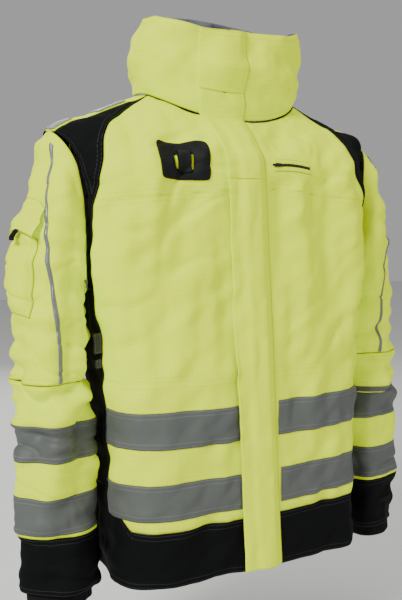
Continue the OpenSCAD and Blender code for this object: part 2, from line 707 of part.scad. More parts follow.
upper_sleeve(-1);  // right_upper_sleeve
upper_sleeve(1);  // left_upper_sleeve
elbow(-1);  // right_elbow
elbow(1);  // left_elbow
lower_sleeve(-1);  // right_lower_sleeve
lower_sleeve(1);  // left_lower_sleeve
sleeve_tapes(-1);  // right_sleeve_tapes
sleeve_tapes(1);  // left_sleeve_tapes
cuff(-1);  // right_cuff
cuff(1);  // left_cuff
wristlet(-1);  // right_wristlet
wristlet(1);  // left_wristlet
piping(-1);  // right_piping
piping(1);  // left_piping
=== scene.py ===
# %% [markdown]
# # A high-visibility turnout coat
# The coat is about fifty cut pieces of cloth. Every piece lies on one of three smooth surfaces: the body,
# the collar and the sleeve. So the lesson first makes those surfaces as formulas, then cuts each
# piece of cloth out of them, and only then gives each its cloth, its stitches and its light.

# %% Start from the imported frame
import math
import bmesh
import bpy
import numpy as np
from mathutils import Matrix, Vector, noise


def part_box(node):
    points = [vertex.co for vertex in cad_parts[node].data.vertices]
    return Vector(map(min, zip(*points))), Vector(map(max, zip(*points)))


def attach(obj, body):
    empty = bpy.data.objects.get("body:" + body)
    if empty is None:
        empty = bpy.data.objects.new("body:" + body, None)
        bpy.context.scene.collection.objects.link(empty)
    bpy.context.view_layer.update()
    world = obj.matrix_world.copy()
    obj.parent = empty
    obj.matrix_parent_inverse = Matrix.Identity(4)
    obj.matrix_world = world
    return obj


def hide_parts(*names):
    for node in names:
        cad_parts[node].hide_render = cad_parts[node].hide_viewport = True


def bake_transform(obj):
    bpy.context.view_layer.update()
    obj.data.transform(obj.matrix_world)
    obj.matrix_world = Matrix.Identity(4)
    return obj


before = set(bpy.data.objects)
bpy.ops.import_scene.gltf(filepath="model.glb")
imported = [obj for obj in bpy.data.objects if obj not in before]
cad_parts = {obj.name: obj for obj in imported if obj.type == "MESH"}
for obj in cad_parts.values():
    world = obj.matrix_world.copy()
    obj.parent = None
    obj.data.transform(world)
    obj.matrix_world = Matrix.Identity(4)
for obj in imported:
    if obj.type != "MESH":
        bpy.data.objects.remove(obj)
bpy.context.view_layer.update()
MM = 0.001

# %% [markdown]
# The camera comes first, because everything is judged through it. It stands low, in front of the
# coat's right shoulder, and looks down by a few degrees. A camera looks along its own -Z, so its
# matrix is built from three directions: right, up and back.

# %% Camera
TURN, DOWN, ROLL = math.radians(28.675), math.radians(4.394), math.radians(-0.69)
ahead = Vector((math.sin(TURN), math.cos(TURN), 0)) * math.cos(DOWN) - Vector((0, 0, math.sin(DOWN)))
right = Vector((math.cos(TURN), -math.sin(TURN), 0))
above = right.cross(ahead)
level, upright = right, above
right = level * math.cos(ROLL) + upright * math.sin(ROLL)
above = upright * math.cos(ROLL) - level * math.sin(ROLL)
lens = bpy.data.cameras.new("camera")
lens.lens, lens.sensor_width, lens.clip_start = 49.57, 36, 0.05
camera = bpy.data.objects.new("camera", lens)
bpy.context.scene.collection.objects.link(camera)
camera.matrix_world = Matrix.Translation((-0.6274, -1.0986, -0.2288)) @ Matrix(
    (right, above, -ahead)).transposed().to_4x4()
bpy.context.scene.camera = camera
print("camera at", [round(x, 3) for x in camera.location])

# %% [markdown]
# The light is a soft studio: a bright even surround, a large soft panel on the left in front, a weaker
# one on the right, one from above and one from behind. The floor is plain and pale, below the cuffs.

# %% Light and floor
def soft_panel(name, place, size, watts):
    light = bpy.data.lights.new(name, "AREA")
    light.shape, light.size, light.energy = "DISK", size, watts
    panel = bpy.data.objects.new(name, light)
    bpy.context.scene.collection.objects.link(panel)
    panel.location = place
    panel.rotation_euler = (Vector((0, 0, -0.3)) - Vector(place)).to_track_quat("-Z", "Y").to_euler()


soft_panel("key_panel", (-2.6, -1.4, 1.5), 1.1, 130)
soft_panel("fill_panel", (2.2, -2.4, 0.3), 2.0, 26)
soft_panel("top_panel", (0.2, -0.2, 2.6), 1.6, 26)
soft_panel("back_panel_light", (0.6, 2.6, 0.8), 2.0, 26)
world = bpy.data.worlds.new("studio")
world.use_nodes = True
world.node_tree.nodes["Background"].inputs["Color"].default_value = (1, 1, 1, 1)
world.node_tree.nodes["Background"].inputs["Strength"].default_value = 0.38
bpy.context.scene.world = world

# %% [markdown]
# ## The pattern's surfaces
# A coat in wear is close to a stack of rounded outlines: at the hem, the waist, the armpits, over the
# shoulders and at the neck. Each outline is a superellipse with its own width, front and back depth
# and roundness. A smooth curve through these stations gives every height in between.

# %% Stations up the body, in millimetres
def mix(a, b, t):
    return a + (b - a) * t


def ease(t):
    c = np.clip(t, 0, 1)
    return c * c * (3 - 2 * c)


def along(rows, s):
    """A smooth curve through rows, one unit of s apart."""
    rows, s = np.asarray(rows, float), np.asarray(s, float)
    last = len(rows) - 1
    i = np.clip(np.floor(s).astype(int), 0, last - 1)
    t = s - i
    if rows.ndim > 1:
        t = t[..., None]
    a, b, c, d = (rows[np.clip(i + k, 0, last)] for k in (-1, 0, 1, 2))
    return 0.5 * (2 * b + (c - a) * t + (2 * a - 5 * b + 4 * c - d) * t**2 + (3 * b - 3 * c + d - a) * t**3)


HEM_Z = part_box("hem_back")[0][2] / MM
ARMHOLE, TIP_Z, NECK_DROP, NECK_SIDE = 218, -82, 66, 26
PIT_Z = TIP_Z - ARMHOLE
HANG = PIT_Z - HEM_Z
HEM_W, WAIST_W, CHEST_W, SHOULDER_W, NECK_W = 400, 412, 436, 524, 256
FRONT, BACK, NECK_FRONT, NECK_BACK = 128, 104, 78, 86
FLAP_W, FLAP_START, FLAP_LEAN, LEAN_FROM = 64, 57, 25, -120
STATIONS = [
    [HEM_Z] * 3 + [HEM_W / 2, FRONT, BACK, 4.5, 2.3],
    [HEM_Z + HANG / 3] * 3 + [(HEM_W + WAIST_W) / 4, FRONT, BACK + 1, 4.5, 2.3],
    [HEM_Z + HANG * 2 / 3] * 3 + [WAIST_W / 2, FRONT, BACK + 2, 4.4, 2.3],
    [PIT_Z] * 3 + [CHEST_W / 2, FRONT, BACK + 4, 4, 2.4],
    [PIT_Z + ARMHOLE * 0.4, -196, PIT_Z + ARMHOLE * 0.5, CHEST_W / 2 + 16, FRONT, BACK + 6, 3.4, 2.5],
    [PIT_Z + ARMHOLE * 0.75, -134, -118, SHOULDER_W / 2 - 12, FRONT - 1, BACK + 3, 2.9, 2.4],
    [TIP_Z, -NECK_DROP - 28, -62, SHOULDER_W / 2, FRONT - 23, BACK - 2, 2.4, 2.2],
    [(TIP_Z - NECK_SIDE) / 2, -NECK_DROP - 8, -20, (SHOULDER_W + NECK_W) / 4 + 4, NECK_FRONT + 10,
     NECK_BACK + 6, 2.2, 2.1],
    [-NECK_SIDE, -NECK_DROP, 0, NECK_W / 2, NECK_FRONT, NECK_BACK, 2.2, 2.1],
]
PIT, TIP, NECK = 3, 6, 8
print("body stations from", round(HEM_Z), "mm to the neck at 0 mm")

# %% [markdown]
# The closing line leans a little. Three lines share that lean: the free edge of the storm flap, its sewn
# edge and the zip half way between them.

# %% The closing line
def free_x(z):
    return -FLAP_START + FLAP_LEAN * (LEAN_FROM - z) / (-HEM_Z + LEAN_FROM)


def sewn_x(z):
    return free_x(z) + FLAP_W


def zip_x(z):
    return free_x(z) + FLAP_W * 0.5


print("zip at the chest, x =", round(zip_x(-200)), "mm, at the hem, x =", round(zip_x(HEM_Z)), "mm")

# %% [markdown]
# Worn cloth is never smooth. Broad folds hang from the shoulders, creases run from the armpits, and the
# whole cloth is slightly crumpled. All of that is noise that depends only on the place on its surface,
# so a tape, the panel under it and its neighbour all move together and never part.

# %% Folds of the worn cloth
def wrinkle(points, size, seed):
    """Smooth noise from -1 to 1 whose bumps have the given width, depth and height."""
    scaled = points / np.asarray(size, float) + seed
    return np.array([noise.noise(Vector(p)) for p in scaled.reshape(-1, 3)]).reshape(points.shape[:-1])


def crease(points, size, seed, width=0.09):
    """Narrow winding lines, 1 on a line and 0 away from it."""
    return np.exp(-((wrinkle(points, size, seed) / width) ** 2))


def body_folds(p):
    z = p[..., 2]
    calm = 1 - 0.75 * ease((z + 110) / 60)
    on_zip = np.where(p[..., 1] < -60, np.exp(-(((p[..., 0] - zip_x(z) - 12) / 44) ** 4)), 0)
    on_mouth = np.where(p[..., 1] < 0, np.exp(-(((p[..., 0] - 50) / 50) ** 4 + ((z + 131) / 22) ** 4)), 0)
    calm = calm * (1 - 0.97 * on_zip) * (1 - 0.97 * on_mouth)
    below_waist = ease((-400 - z) / 40)
    broad = wrinkle(p, (52, 70, 190), 3.1) * 15 + wrinkle(p, (27, 40, 90), 11.7) * 6
    slanted = p @ np.array([[0.8, 0, -0.6], [0, 1, 0], [0.6, 0, 0.8]])
    sharp = crease(slanted, (95, 95, 60), 17.9) * 2.6 * (1 - 0.7 * below_waist)
    creases = wrinkle(slanted, (55, 60, 22), 7.3) * 5 - sharp
    return calm * (broad * (1 - 0.35 * below_waist) + creases) + wrinkle(p, (13, 13, 15), 5.5) * 0.9


def sleeve_folds(p, k):
    amount = ease(k / 0.8)
    elbow = np.exp(-(((p[..., 2] + 440) / 70) ** 2))
    long_folds = wrinkle(p, (36, 42, 120), 21.3) * 13
    sharp = crease(p, (80, 80, 38), 33.3) * (2.4 + 2.6 * elbow)
    rings = wrinkle(p, (60, 60, 23), 31.9) * (7 + 10 * elbow) - sharp
    return amount * (long_folds + rings) + wrinkle(p, (13, 13, 15), 41.5) * 0.9


def body_pt(s, phi):
    q, p = along(STATIONS, s), np.radians(phi)
    front = np.cos(p) >= 0
    depth, power = np.where(front, q[..., 4], q[..., 5]), np.where(front, q[..., 6], q[..., 7])
    r = ((np.abs(np.sin(p)) / q[..., 3]) ** power + (np.abs(np.cos(p)) / depth) ** power) ** (-1 / power)
    c = np.abs(r * np.cos(p)) / depth
    z = mix(q[..., 0], np.where(front, q[..., 1], q[..., 2]), c * c)
    return np.stack([r * np.sin(p), -r * np.cos(p), z], -1)


def outward(surface, a, b):
    """The direction straight out of surface(a, b), where b goes round and a goes up."""
    e = 0.02
    n = np.cross(surface(a, b + e) - surface(a, b - e), surface(a + e / 10, b) - surface(a - e / 10, b))
    return n / np.linalg.norm(n, axis=-1, keepdims=True)


def body(s, phi, d, folded=1.0):
    s, phi = np.broadcast_arrays(np.asarray(s, float), np.asarray(phi, float))
    p = body_pt(s, phi)
    lift = np.asarray(d, float) + folded * body_folds(p)
    return p + outward(body_pt, s, phi) * lift[..., None]


heights = np.linspace(0, NECK, 801)
front_z = body_pt(heights, np.zeros(801))[:, 2]


def s_at(z):
    return np.interp(z, front_z, heights)


def z_of(s):
    return np.interp(s, heights, front_z)


def phi_at(s, x):
    q = along(STATIONS, s)
    share = np.minimum(0.98, np.abs(x) / q[..., 3])
    return np.degrees(np.arctan2(x, q[..., 4] * (1 - share ** q[..., 6]) ** (1 / q[..., 6])))


print("front middle at the chest:", body(s_at(-200), 0.0, 0.0).round())

# %% [markdown]
# The seams between the panels are directions that change with the height.

# %% Seams
FRONT_SEAM = [78, 78, 78, 78.5, 74, 68.5, 70.5, 74.5, 78]
LEFT_SEAM = [78, 78, 78, 76.5, 67.5, 60, 62.5, 68.5, 75]
BACK_SEAM = [103, 103, 103, 103.5, 106, 108, 109, 110, 112]
ARM_FRONT, ARM_BACK = 15, 14
HEM_TOP, HEM_RISE, HEM_TURN = HEM_Z + 77, 50, 16
GAP = 0.1


def arm_bow(s):
    return np.sqrt(np.maximum(0, 1 - ((s - (PIT + TIP) / 2) / ((TIP - PIT) / 2)) ** 2))


def front_edge(s):
    low = np.minimum(90 - ARM_FRONT * arm_bow(s), mix(90, 86.5, (s - PIT) / (TIP - PIT)))
    return np.where(s < TIP, low, mix(86.5, 78.5, (s - TIP) / (NECK - TIP)))


def back_edge(s):
    low = np.maximum(90 + ARM_BACK * arm_bow(s), mix(90, 93.5, (s - PIT) / (TIP - PIT)))
    return np.where(s < TIP, low, mix(93.5, 108, (s - TIP) / (NECK - TIP)))


def seam_at(side, s):
    return along(LEFT_SEAM if side > 0 else FRONT_SEAM, s)


def hem_s(phi):
    off = np.minimum(np.abs(phi - FRONT_SEAM[0]), np.abs(BACK_SEAM[0] - phi))
    inside = (phi > FRONT_SEAM[0]) & (phi < BACK_SEAM[0])
    return s_at(HEM_TOP + HEM_RISE * np.where(inside, 1, 1 - ease(off / HEM_TURN)))


# %% [markdown]
# The sleeve is a tube through eight rings. The first ring is the armhole itself, which lies on the body's
# surface, and the last is the cuff's edge. The collar rises from the neck seam and leans forward.

# %% Sleeve and collar surfaces
SLEEVE_X, SLEEVE_Y, SLEEVE_W, SLEEVE_D = 268, -8, 106, 116
ELBOW_Z, ELBOW_ZONE, SLEEVE_END, CUFF_H = -476, 108, -706, 77
TOP_ELBOW, LOW_ELBOW, CUFF_TOP = ELBOW_Z + ELBOW_ZONE / 2, ELBOW_Z - ELBOW_ZONE / 2, SLEEVE_END + CUFF_H
RINGS = [
    [(SLEEVE_X - 14, SLEEVE_Y, -222), (33, 0, 84), SLEEVE_D / 2 + 8],
    [(SLEEVE_X - 3, SLEEVE_Y, -278), (43, 0, 25), SLEEVE_D / 2 + 5],
    [(SLEEVE_X, SLEEVE_Y, -360), (SLEEVE_W / 2 - 2, 0, 20), SLEEVE_D / 2 + 2],
    [(SLEEVE_X, SLEEVE_Y - 2, TOP_ELBOW), (SLEEVE_W / 2, 0, 0), SLEEVE_D / 2],
    [(SLEEVE_X + 1, SLEEVE_Y - 4, LOW_ELBOW), (SLEEVE_W / 2 + 1, 0, 0), SLEEVE_D / 2 - 1],
    [(SLEEVE_X + 2, SLEEVE_Y - 9, CUFF_TOP), (SLEEVE_W / 2 + 1, 0, 0), SLEEVE_D / 2 - 3],
    [(SLEEVE_X + 3, SLEEVE_Y - 13, SLEEVE_END), (SLEEVE_W / 2 - 4, 0, 0), SLEEVE_D / 2 - 8],
]


def sleeve_pt(k, psi):
    r = np.radians(psi)
    rings = [body_pt(4.5 + 1.47 * np.cos(r), 90 - np.where(np.sin(r) > 0, 14.5, 13.5) * np.sin(r))]
    for middle, across, depth in RINGS:
        rings.append(np.array(middle) + np.cos(r)[..., None] * np.array(across)
                     - (np.sin(r) * depth)[..., None] * np.array([0, 1, 0]))
    last = len(rings) - 1
    i = np.clip(np.floor(k).astype(int), 0, last - 1)
    t = (k - i)[..., None]
    stack = np.stack(rings)
    pick = lambda j: np.take_along_axis(stack, np.clip(j, 0, last)[None, ..., None], 0)[0]
    a, b, c, d = pick(i - 1), pick(i), pick(i + 1), pick(i + 2)
    return 0.5 * (2 * b + (c - a) * t + (2 * a - 5 * b + 4 * c - d) * t**2 + (3 * b - 3 * c + d - a) * t**3)


def sleeve(side, k, psi, d, folded=1.0):
    k, psi = np.broadcast_arrays(np.asarray(k, float), np.asarray(psi, float))
    p, out = sleeve_pt(k, psi), outward(sleeve_pt, k, psi)
    flip = np.array([side, 1, 1])
    lift = np.asarray(d, float) + folded * sleeve_folds(p * flip, k)
    return (p + out * lift[..., None]) * flip


COLLAR_FRONT, COLLAR_BACK, COLLAR_LEAN, COLLAR_OPEN, COLLAR_SLIT = 122, 108, 20, -21, 1.5


def collar_pt(h, phi):
    base, c = body_pt(np.full_like(h, NECK), phi), np.cos(np.radians(phi))
    rise = COLLAR_BACK - 2 + np.where(c > 0, COLLAR_FRONT - COLLAR_BACK + 2, 2) * c * c
    swell = 1 - 0.03 * h + 0.05 * np.sin(np.pi * h)
    return np.stack([base[..., 0] * swell, base[..., 1] * swell - COLLAR_LEAN * h,
                     base[..., 2] + 1.2 + rise * h], -1)


def collar(h, phi, d, folded=1.0):
    h, phi = np.broadcast_arrays(np.asarray(h, float), np.asarray(phi, float))
    p = collar_pt(h, phi)
    soft = wrinkle(p, (46, 40, 34), 51.3) * 11 + wrinkle(p, (18, 18, 16), 61.1) * 2
    lift = np.asarray(d, float) + folded * ease(h * 4) * soft
    return p + outward(collar_pt, h, phi) * lift[..., None]


k_line = np.linspace(3, 7, 401)
k_z = sleeve_pt(k_line, np.full(401, 90.0))[:, 2]


def k_at(z):
    return np.interp(-z, -k_z, k_line)


print("cuff edge at", round(k_z[-1]), "mm")

# %% [markdown]
# ## One tool that cuts every piece of cloth
# A piece starts as a flat grid, as cloth starts on the cutting table. The grid is laid on its surface by a
# function of (u, v). Its UV map holds real lengths in metres, measured along the laid cloth, so a weave
# keeps its size everywhere. An attribute called edge holds the distance to the nearest sewn edge or
# seam line, which the materials turn into rows of stitches. Solidify then gives the cloth its thickness.

# %% The cloth cutter
made = {}


def flat_grid(bm, columns, rows):
    bmesh.ops.create_grid(bm, x_segments=columns, y_segments=rows, size=0.5)
    bm.verts.index_update()
    bm.verts.ensure_lookup_table()
    return np.array([v.co[:2] for v in bm.verts]) + 0.5


def run_lengths(points):
    """Length along the first axis of a grid of points, from its start."""
    steps = np.linalg.norm(np.diff(points, axis=0), axis=-1)
    return np.concatenate([np.zeros((1,) + steps.shape[1:]), np.cumsum(steps, 0)])


def cut(name, place, size, sewn="lrbt", seams=(), thick=1.2, step=3.4, tube=False, dip=0.9, material=None,
        inside=None):
    """place(u, v, d) lays the grid; size is its rough width and height; sewn names the sewn edges."""
    columns, rows = max(2, round(size[0] / step)), max(2, round(size[1] / step))
    bm = bmesh.new()
    uv = flat_grid(bm, columns, rows)
    i, j = np.rint(uv[:, 0] * columns).astype(int), np.rint(uv[:, 1] * rows).astype(int)
    points, raised = place(uv[:, 0], uv[:, 1], 0.0), place(uv[:, 0], uv[:, 1], 1.0)
    grid = np.zeros((columns + 1, rows + 1, 3))
    grid[i, j] = points
    across, up = run_lengths(grid), run_lengths(grid.transpose(1, 0, 2)).T
    far = np.full(grid.shape[:2], 1000.0)
    from_edge = {"l": across, "r": across[-1] - across, "b": up, "t": up[:, -1:] - up}
    for letter in sewn:
        far = np.minimum(far, from_edge[letter])
    dips = far.copy()
    for line in seams:
        far = np.minimum(far, np.abs(line(grid)))
    out = raised - points
    out /= np.linalg.norm(out, axis=1, keepdims=True)
    points = points - out * (dip * np.exp(-((dips[i, j] / 3.5) ** 2)))[:, None]
    middle = across[columns // 2]
    flat = np.stack([across - middle, up], -1)[i, j] * MM
    for vert, p in zip(bm.verts, points * MM):
        vert.co = p
    layer = bm.loops.layers.uv.new("cloth")
    edge = bm.verts.layers.float.new("edge")
    for vert, value in zip(bm.verts, far[i, j] * MM):
        vert[edge] = value
    for face in bm.faces:
        face.smooth = True
        for loop in face.loops:
            loop[layer].uv = flat[loop.vert.index]
    bm.normal_update()
    total = sum(f.normal.dot(Vector(out[f.verts[0].index])) for f in bm.faces)
    if tube:
        bmesh.ops.remove_doubles(bm, verts=bm.verts, dist=0.00002)
    if total < 0:
        bmesh.ops.reverse_faces(bm, faces=bm.faces)
    area = sum(f.calc_area() for f in bm.faces)
    piece = finish_mesh(name, bm, material)
    if thick:
        wall = piece.modifiers.new("thickness", "SOLIDIFY")
        wall.thickness, wall.offset = thick * MM, -1
        if inside:
            piece.data.materials.append(inside)
            wall.material_offset = 1
    width, height = float(np.ptp(flat[:, 0])), float(np.ptp(flat[:, 1]))
    made[name] = (width, height, min(area, width * height))
    print(f"{name}: {width:.3f} x {height:.3f} m, {columns * rows} faces")
    return piece


def finish_mesh(name, bm, material=None):
    mesh = bpy.data.meshes.new(name)
    bm.to_mesh(mesh)
    bm.free()
    piece = bpy.data.objects.new(name, mesh)
    bpy.context.scene.collection.objects.link(piece)
    if material:
        mesh.materials.append(material)
    return piece


def belongs(piece, body_name, slot, *nodes):
    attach(piece, body_name)
    if nodes:
        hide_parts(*nodes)
    return piece


def bends(piece, a, b, start, end, slot, *nodes):
    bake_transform(piece)
    if nodes:
        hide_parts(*nodes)
    return piece


# %% [markdown]
# ## Cloths
# Three effects are shared by several cloths, so each is a node group: the ripstop grid, the rows of
# stitches beside a seam and the slow change of colour over worn cloth. A group gives out only masks and
# heights. The shader itself stays in the material.

# %% Node helpers
def link_math(tree, kind, a, b=None, c=None):
    node = tree.nodes.new("ShaderNodeMath")
    node.operation = kind
    for socket, value in zip(node.inputs, (a, b, c)):
        if value is None:
            continue
        if isinstance(value, (int, float)):
            socket.default_value = value
        else:
            tree.links.new(value, socket)
    return node.outputs[0]


def new_group(name, inputs, outputs):
    tree = bpy.data.node_groups.new(name, "ShaderNodeTree")
    for label, kind, value in inputs:
        socket = tree.interface.new_socket(label, in_out="INPUT", socket_type=kind)
        if value is not None:
            socket.default_value = value
    for label in outputs:
        tree.interface.new_socket(label, in_out="OUTPUT", socket_type="NodeSocketFloat")
    return tree, tree.nodes.new("NodeGroupInput").outputs, tree.nodes.new("NodeGroupOutput").inputs


# %% [markdown]
# The ripstop grid is two sets of fine lines. Each line is where the length along the cloth is near a
# whole number of spacings.

# %% Ripstop grid group
def ripstop_group():
    tree, take, give = new_group(
        "ripstop", [("Cloth", "NodeSocketVector", None), ("Spacing", "NodeSocketFloat", 0.0066),
                    ("Width", "NodeSocketFloat", 0.06)], ["Lines"])
    parts = tree.nodes.new("ShaderNodeSeparateXYZ")
    tree.links.new(take["Cloth"], parts.inputs[0])
    lines = []
    for axis in (0, 1):
        turns = link_math(tree, "DIVIDE", parts.outputs[axis], take["Spacing"])
        near = link_math(tree, "PINGPONG", turns, 0.5)
        lines.append(link_math(tree, "LESS_THAN", near, take["Width"]))
    tree.links.new(link_math(tree, "MAXIMUM", lines[0], lines[1]), give["Lines"])
    return tree


# %% [markdown]
# The stitches come from the edge attribute, the distance to the nearest seam. Two rows run at fixed
# distances from it, and a pulse along the cloth breaks each row into dashes.

# %% Stitch group
def stitch_group():
    """Dashes in rows at two distances from a seam, and the seam's groove, a mask for its bump and its
    painted shade.
    """
    tree, take, give = new_group(
        "stitches", [("Cloth", "NodeSocketVector", None), ("Edge", "NodeSocketFloat", 0.1),
                     ("First", "NodeSocketFloat", 0.002), ("Second", "NodeSocketFloat", 0.0075)],
        ["Thread", "GrooveAndShade"])
    parts = tree.nodes.new("ShaderNodeSeparateXYZ")
    tree.links.new(take["Cloth"], parts.inputs[0])
    run = link_math(tree, "ADD", parts.outputs[0], parts.outputs[1])
    pulse = link_math(tree, "PINGPONG", link_math(tree, "DIVIDE", run, 0.0042), 0.5)
    dash = link_math(tree, "LESS_THAN", pulse, 0.32)
    rows = []
    for row in ("First", "Second"):
        gap = link_math(tree, "ABSOLUTE", link_math(tree, "SUBTRACT", take["Edge"], take[row]))
        rows.append(link_math(tree, "LESS_THAN", gap, 0.0005))
    thread = link_math(tree, "MULTIPLY", link_math(tree, "MAXIMUM", rows[0], rows[1]), dash)
    tree.links.new(thread, give["Thread"])
    # Painted shade: the colour darkens within about a millimetre of a seam, as if its groove lay in shade;
    # the same mask also sinks the bump.
    groove_shade = link_math(tree, "SUBTRACT", 1.0, link_math(tree, "DIVIDE", take["Edge"], 0.0011))
    tree.links.new(link_math(tree, "MAXIMUM", groove_shade, 0.0), give["GrooveAndShade"])
    return tree


# %% [markdown]
# Wear is slow noise over the cloth. A much finer noise gives the threads their grain.

# %% Wear group
def wear_group():
    """Slow blotches and a fine thread grain, both from 0 to 1."""
    tree, take, give = new_group("worn_cloth", [("Place", "NodeSocketVector", None)], ["Blotches", "Grain"])
    for label, scale, detail in (("Blotches", 9.0, 3.0), ("Grain", 900.0, 1.0)):
        cloud = tree.nodes.new("ShaderNodeTexNoise")
        cloud.inputs["Scale"].default_value = scale
        cloud.inputs["Detail"].default_value = detail
        tree.links.new(take["Place"], cloud.inputs["Vector"])
        tree.links.new(cloud.outputs["Fac"], give[label])
    return tree


RIPSTOP, STITCHES, WEAR = ripstop_group(), stitch_group(), wear_group()

# %% [markdown]
# Every cloth on the coat is one recipe with its own values: two shades that the blotches mix, the strength
# of the ripstop grid, the colour of the thread, and a little sheen, as filament cloth has. Two values paint
# light into the colour: the painted shade in the groove along each seam, and the painted glow, an emission
# of the cloth's own colour that lights the yellow though it is no lamp.

# %% The cloth recipe
def blend_colour(tree, amount, a, b):
    node = tree.nodes.new("ShaderNodeMix")
    node.data_type = "RGBA"
    tree.links.new(amount, node.inputs["Factor"])
    for socket, value in ((node.inputs[6], a), (node.inputs[7], b)):
        if isinstance(value, tuple):
            socket.default_value = (*value, 1)
        else:
            tree.links.new(value, socket)
    return node.outputs[2]


def use_group(tree, group, **values):
    node = tree.nodes.new("ShaderNodeGroup")
    node.node_tree = group
    for label, value in values.items():
        if isinstance(value, (int, float)):
            node.inputs[label].default_value = value
        else:
            tree.links.new(value, node.inputs[label])
    return node.outputs


def cloth(name, light, dark, thread, rough=0.62, sheen=0.25, grid=0.35, spacing=0.0066, painted_glow=0.0,
          bump=0.25, metal=0.0, groove_shade=0.75, grain=0.25,
          shine=0.2):
    material = bpy.data.materials.new(name)
    material.use_nodes = True
    tree = material.node_tree
    shader = tree.nodes["Principled BSDF"]
    uv = tree.nodes.new("ShaderNodeUVMap")
    uv.uv_map = "cloth"
    place = tree.nodes.new("ShaderNodeTexCoord").outputs["Object"]
    edge = tree.nodes.new("ShaderNodeAttribute")
    edge.attribute_name = "edge"
    lines = use_group(tree, RIPSTOP, Cloth=uv.outputs[0], Spacing=spacing)["Lines"]
    worn = use_group(tree, WEAR, Place=place)
    sewn = use_group(tree, STITCHES, Cloth=uv.outputs[0], Edge=edge.outputs["Fac"])
    colour = blend_colour(tree, worn["Blotches"], dark, light)
    woven = link_math(tree, "MULTIPLY", lines, grid)
    colour = blend_colour(tree, woven, colour, tuple(0.55 * c for c in dark))
    # Painted shade along each seam's groove, mixed toward a third of the dark shade.
    colour = blend_colour(tree, link_math(tree, "MULTIPLY", sewn["GrooveAndShade"], groove_shade), colour,
                          tuple(0.3 * c for c in dark))
    colour = blend_colour(tree, sewn["Thread"], colour, thread)
    tree.links.new(colour, shader.inputs["Base Color"])
    # Painted light: the cloth emits its own colour, glowing though it is no lamp.
    if painted_glow:
        tree.links.new(colour, shader.inputs["Emission Color"])
        shader.inputs["Emission Strength"].default_value = painted_glow
    ranges = tree.nodes.new("ShaderNodeMapRange")
    tree.links.new(worn["Blotches"], ranges.inputs["Value"])
    ranges.inputs["To Min"].default_value, ranges.inputs["To Max"].default_value = rough - 0.08, rough + 0.08
    tree.links.new(ranges.outputs[0], shader.inputs["Roughness"])
    height = link_math(tree, "MULTIPLY_ADD", worn["Grain"], grain, link_math(tree, "MULTIPLY", lines, 0.5))
    height = link_math(tree, "ADD", height, link_math(tree, "MULTIPLY", sewn["Thread"], 1.2))
    height = link_math(tree, "SUBTRACT", height, link_math(tree, "MULTIPLY", sewn["GrooveAndShade"], 2.0))
    relief = tree.nodes.new("ShaderNodeBump")
    relief.inputs["Strength"].default_value = bump
    relief.inputs["Distance"].default_value = 0.0006
    tree.links.new(height, relief.inputs["Height"])
    tree.links.new(relief.outputs[0], shader.inputs["Normal"])
    shader.inputs["Sheen Weight"].default_value = sheen
    shader.inputs["Metallic"].default_value = metal
    shader.inputs["Specular IOR Level"].default_value = shine
    return material


# The yellow cloth has a painted glow: it emits its own colour, though it is no lamp.
YELLOW = cloth("yellow_cloth", (0.76, 0.93, 0.0), (0.68, 0.85, 0.0), (0.58, 0.72, 0.0), painted_glow=0.22,
               sheen=0.0, grid=0.16, bump=0.14, shine=0.08)
BLACK = cloth("black_cloth", (0.006, 0.0065, 0.0065), (0.003, 0.0033, 0.0035), (0.03, 0.03, 0.033),
              rough=0.8, grid=0.15, sheen=0.0, shine=0.06)
TAPE = cloth("reflective_tape", (0.115, 0.125, 0.115), (0.09, 0.098, 0.09), (0.17, 0.18, 0.17),
             rough=0.55, sheen=0.0, grid=0.12, spacing=0.0021, metal=0.1, groove_shade=0.5)
SHOULDER_TAPE = cloth("shoulder_tape", (0.30, 0.31, 0.32), (0.24, 0.25, 0.26), (0.4, 0.41, 0.42),
                      rough=0.4, sheen=0.0, grid=0.1, spacing=0.0021, metal=0.25, groove_shade=0.5)
PIPING = cloth("reflective_piping", (0.22, 0.23, 0.24), (0.15, 0.16, 0.17), (0.3, 0.3, 0.3),
               rough=0.4, sheen=0.0, grid=0.3, spacing=0.004, metal=0.3)
LINING = cloth("grey_lining", (0.19, 0.20, 0.23), (0.13, 0.14, 0.16), (0.09, 0.09, 0.1),
               rough=0.8, grid=0.5, spacing=0.042, sheen=0.3, bump=0.6)
HOOK = cloth("hook_and_loop", (0.02, 0.02, 0.022), (0.01, 0.01, 0.011), (0.03, 0.03, 0.03),
             rough=0.95, grid=0.6, spacing=0.0016, bump=0.8, sheen=0.4)
KNIT = cloth("knitted_rib", (0.010, 0.010, 0.011), (0.004, 0.004, 0.005), (0.02, 0.02, 0.02),
             rough=0.9, grid=0.6, spacing=0.0028, bump=0.9, sheen=0.05, shine=0.08)
LABEL = cloth("label_cloth", (0.03, 0.03, 0.034), (0.02, 0.02, 0.022), (0.09, 0.09, 0.095),
              rough=0.6, grid=0.2, spacing=0.002)
print(len(bpy.data.materials), "materials so far")

# %% [markdown]
# Moulded parts and metal are not cloth: a fine leather-like grain for the rubber patch, and a satin
# metal with worn, brighter high spots for the sliders.

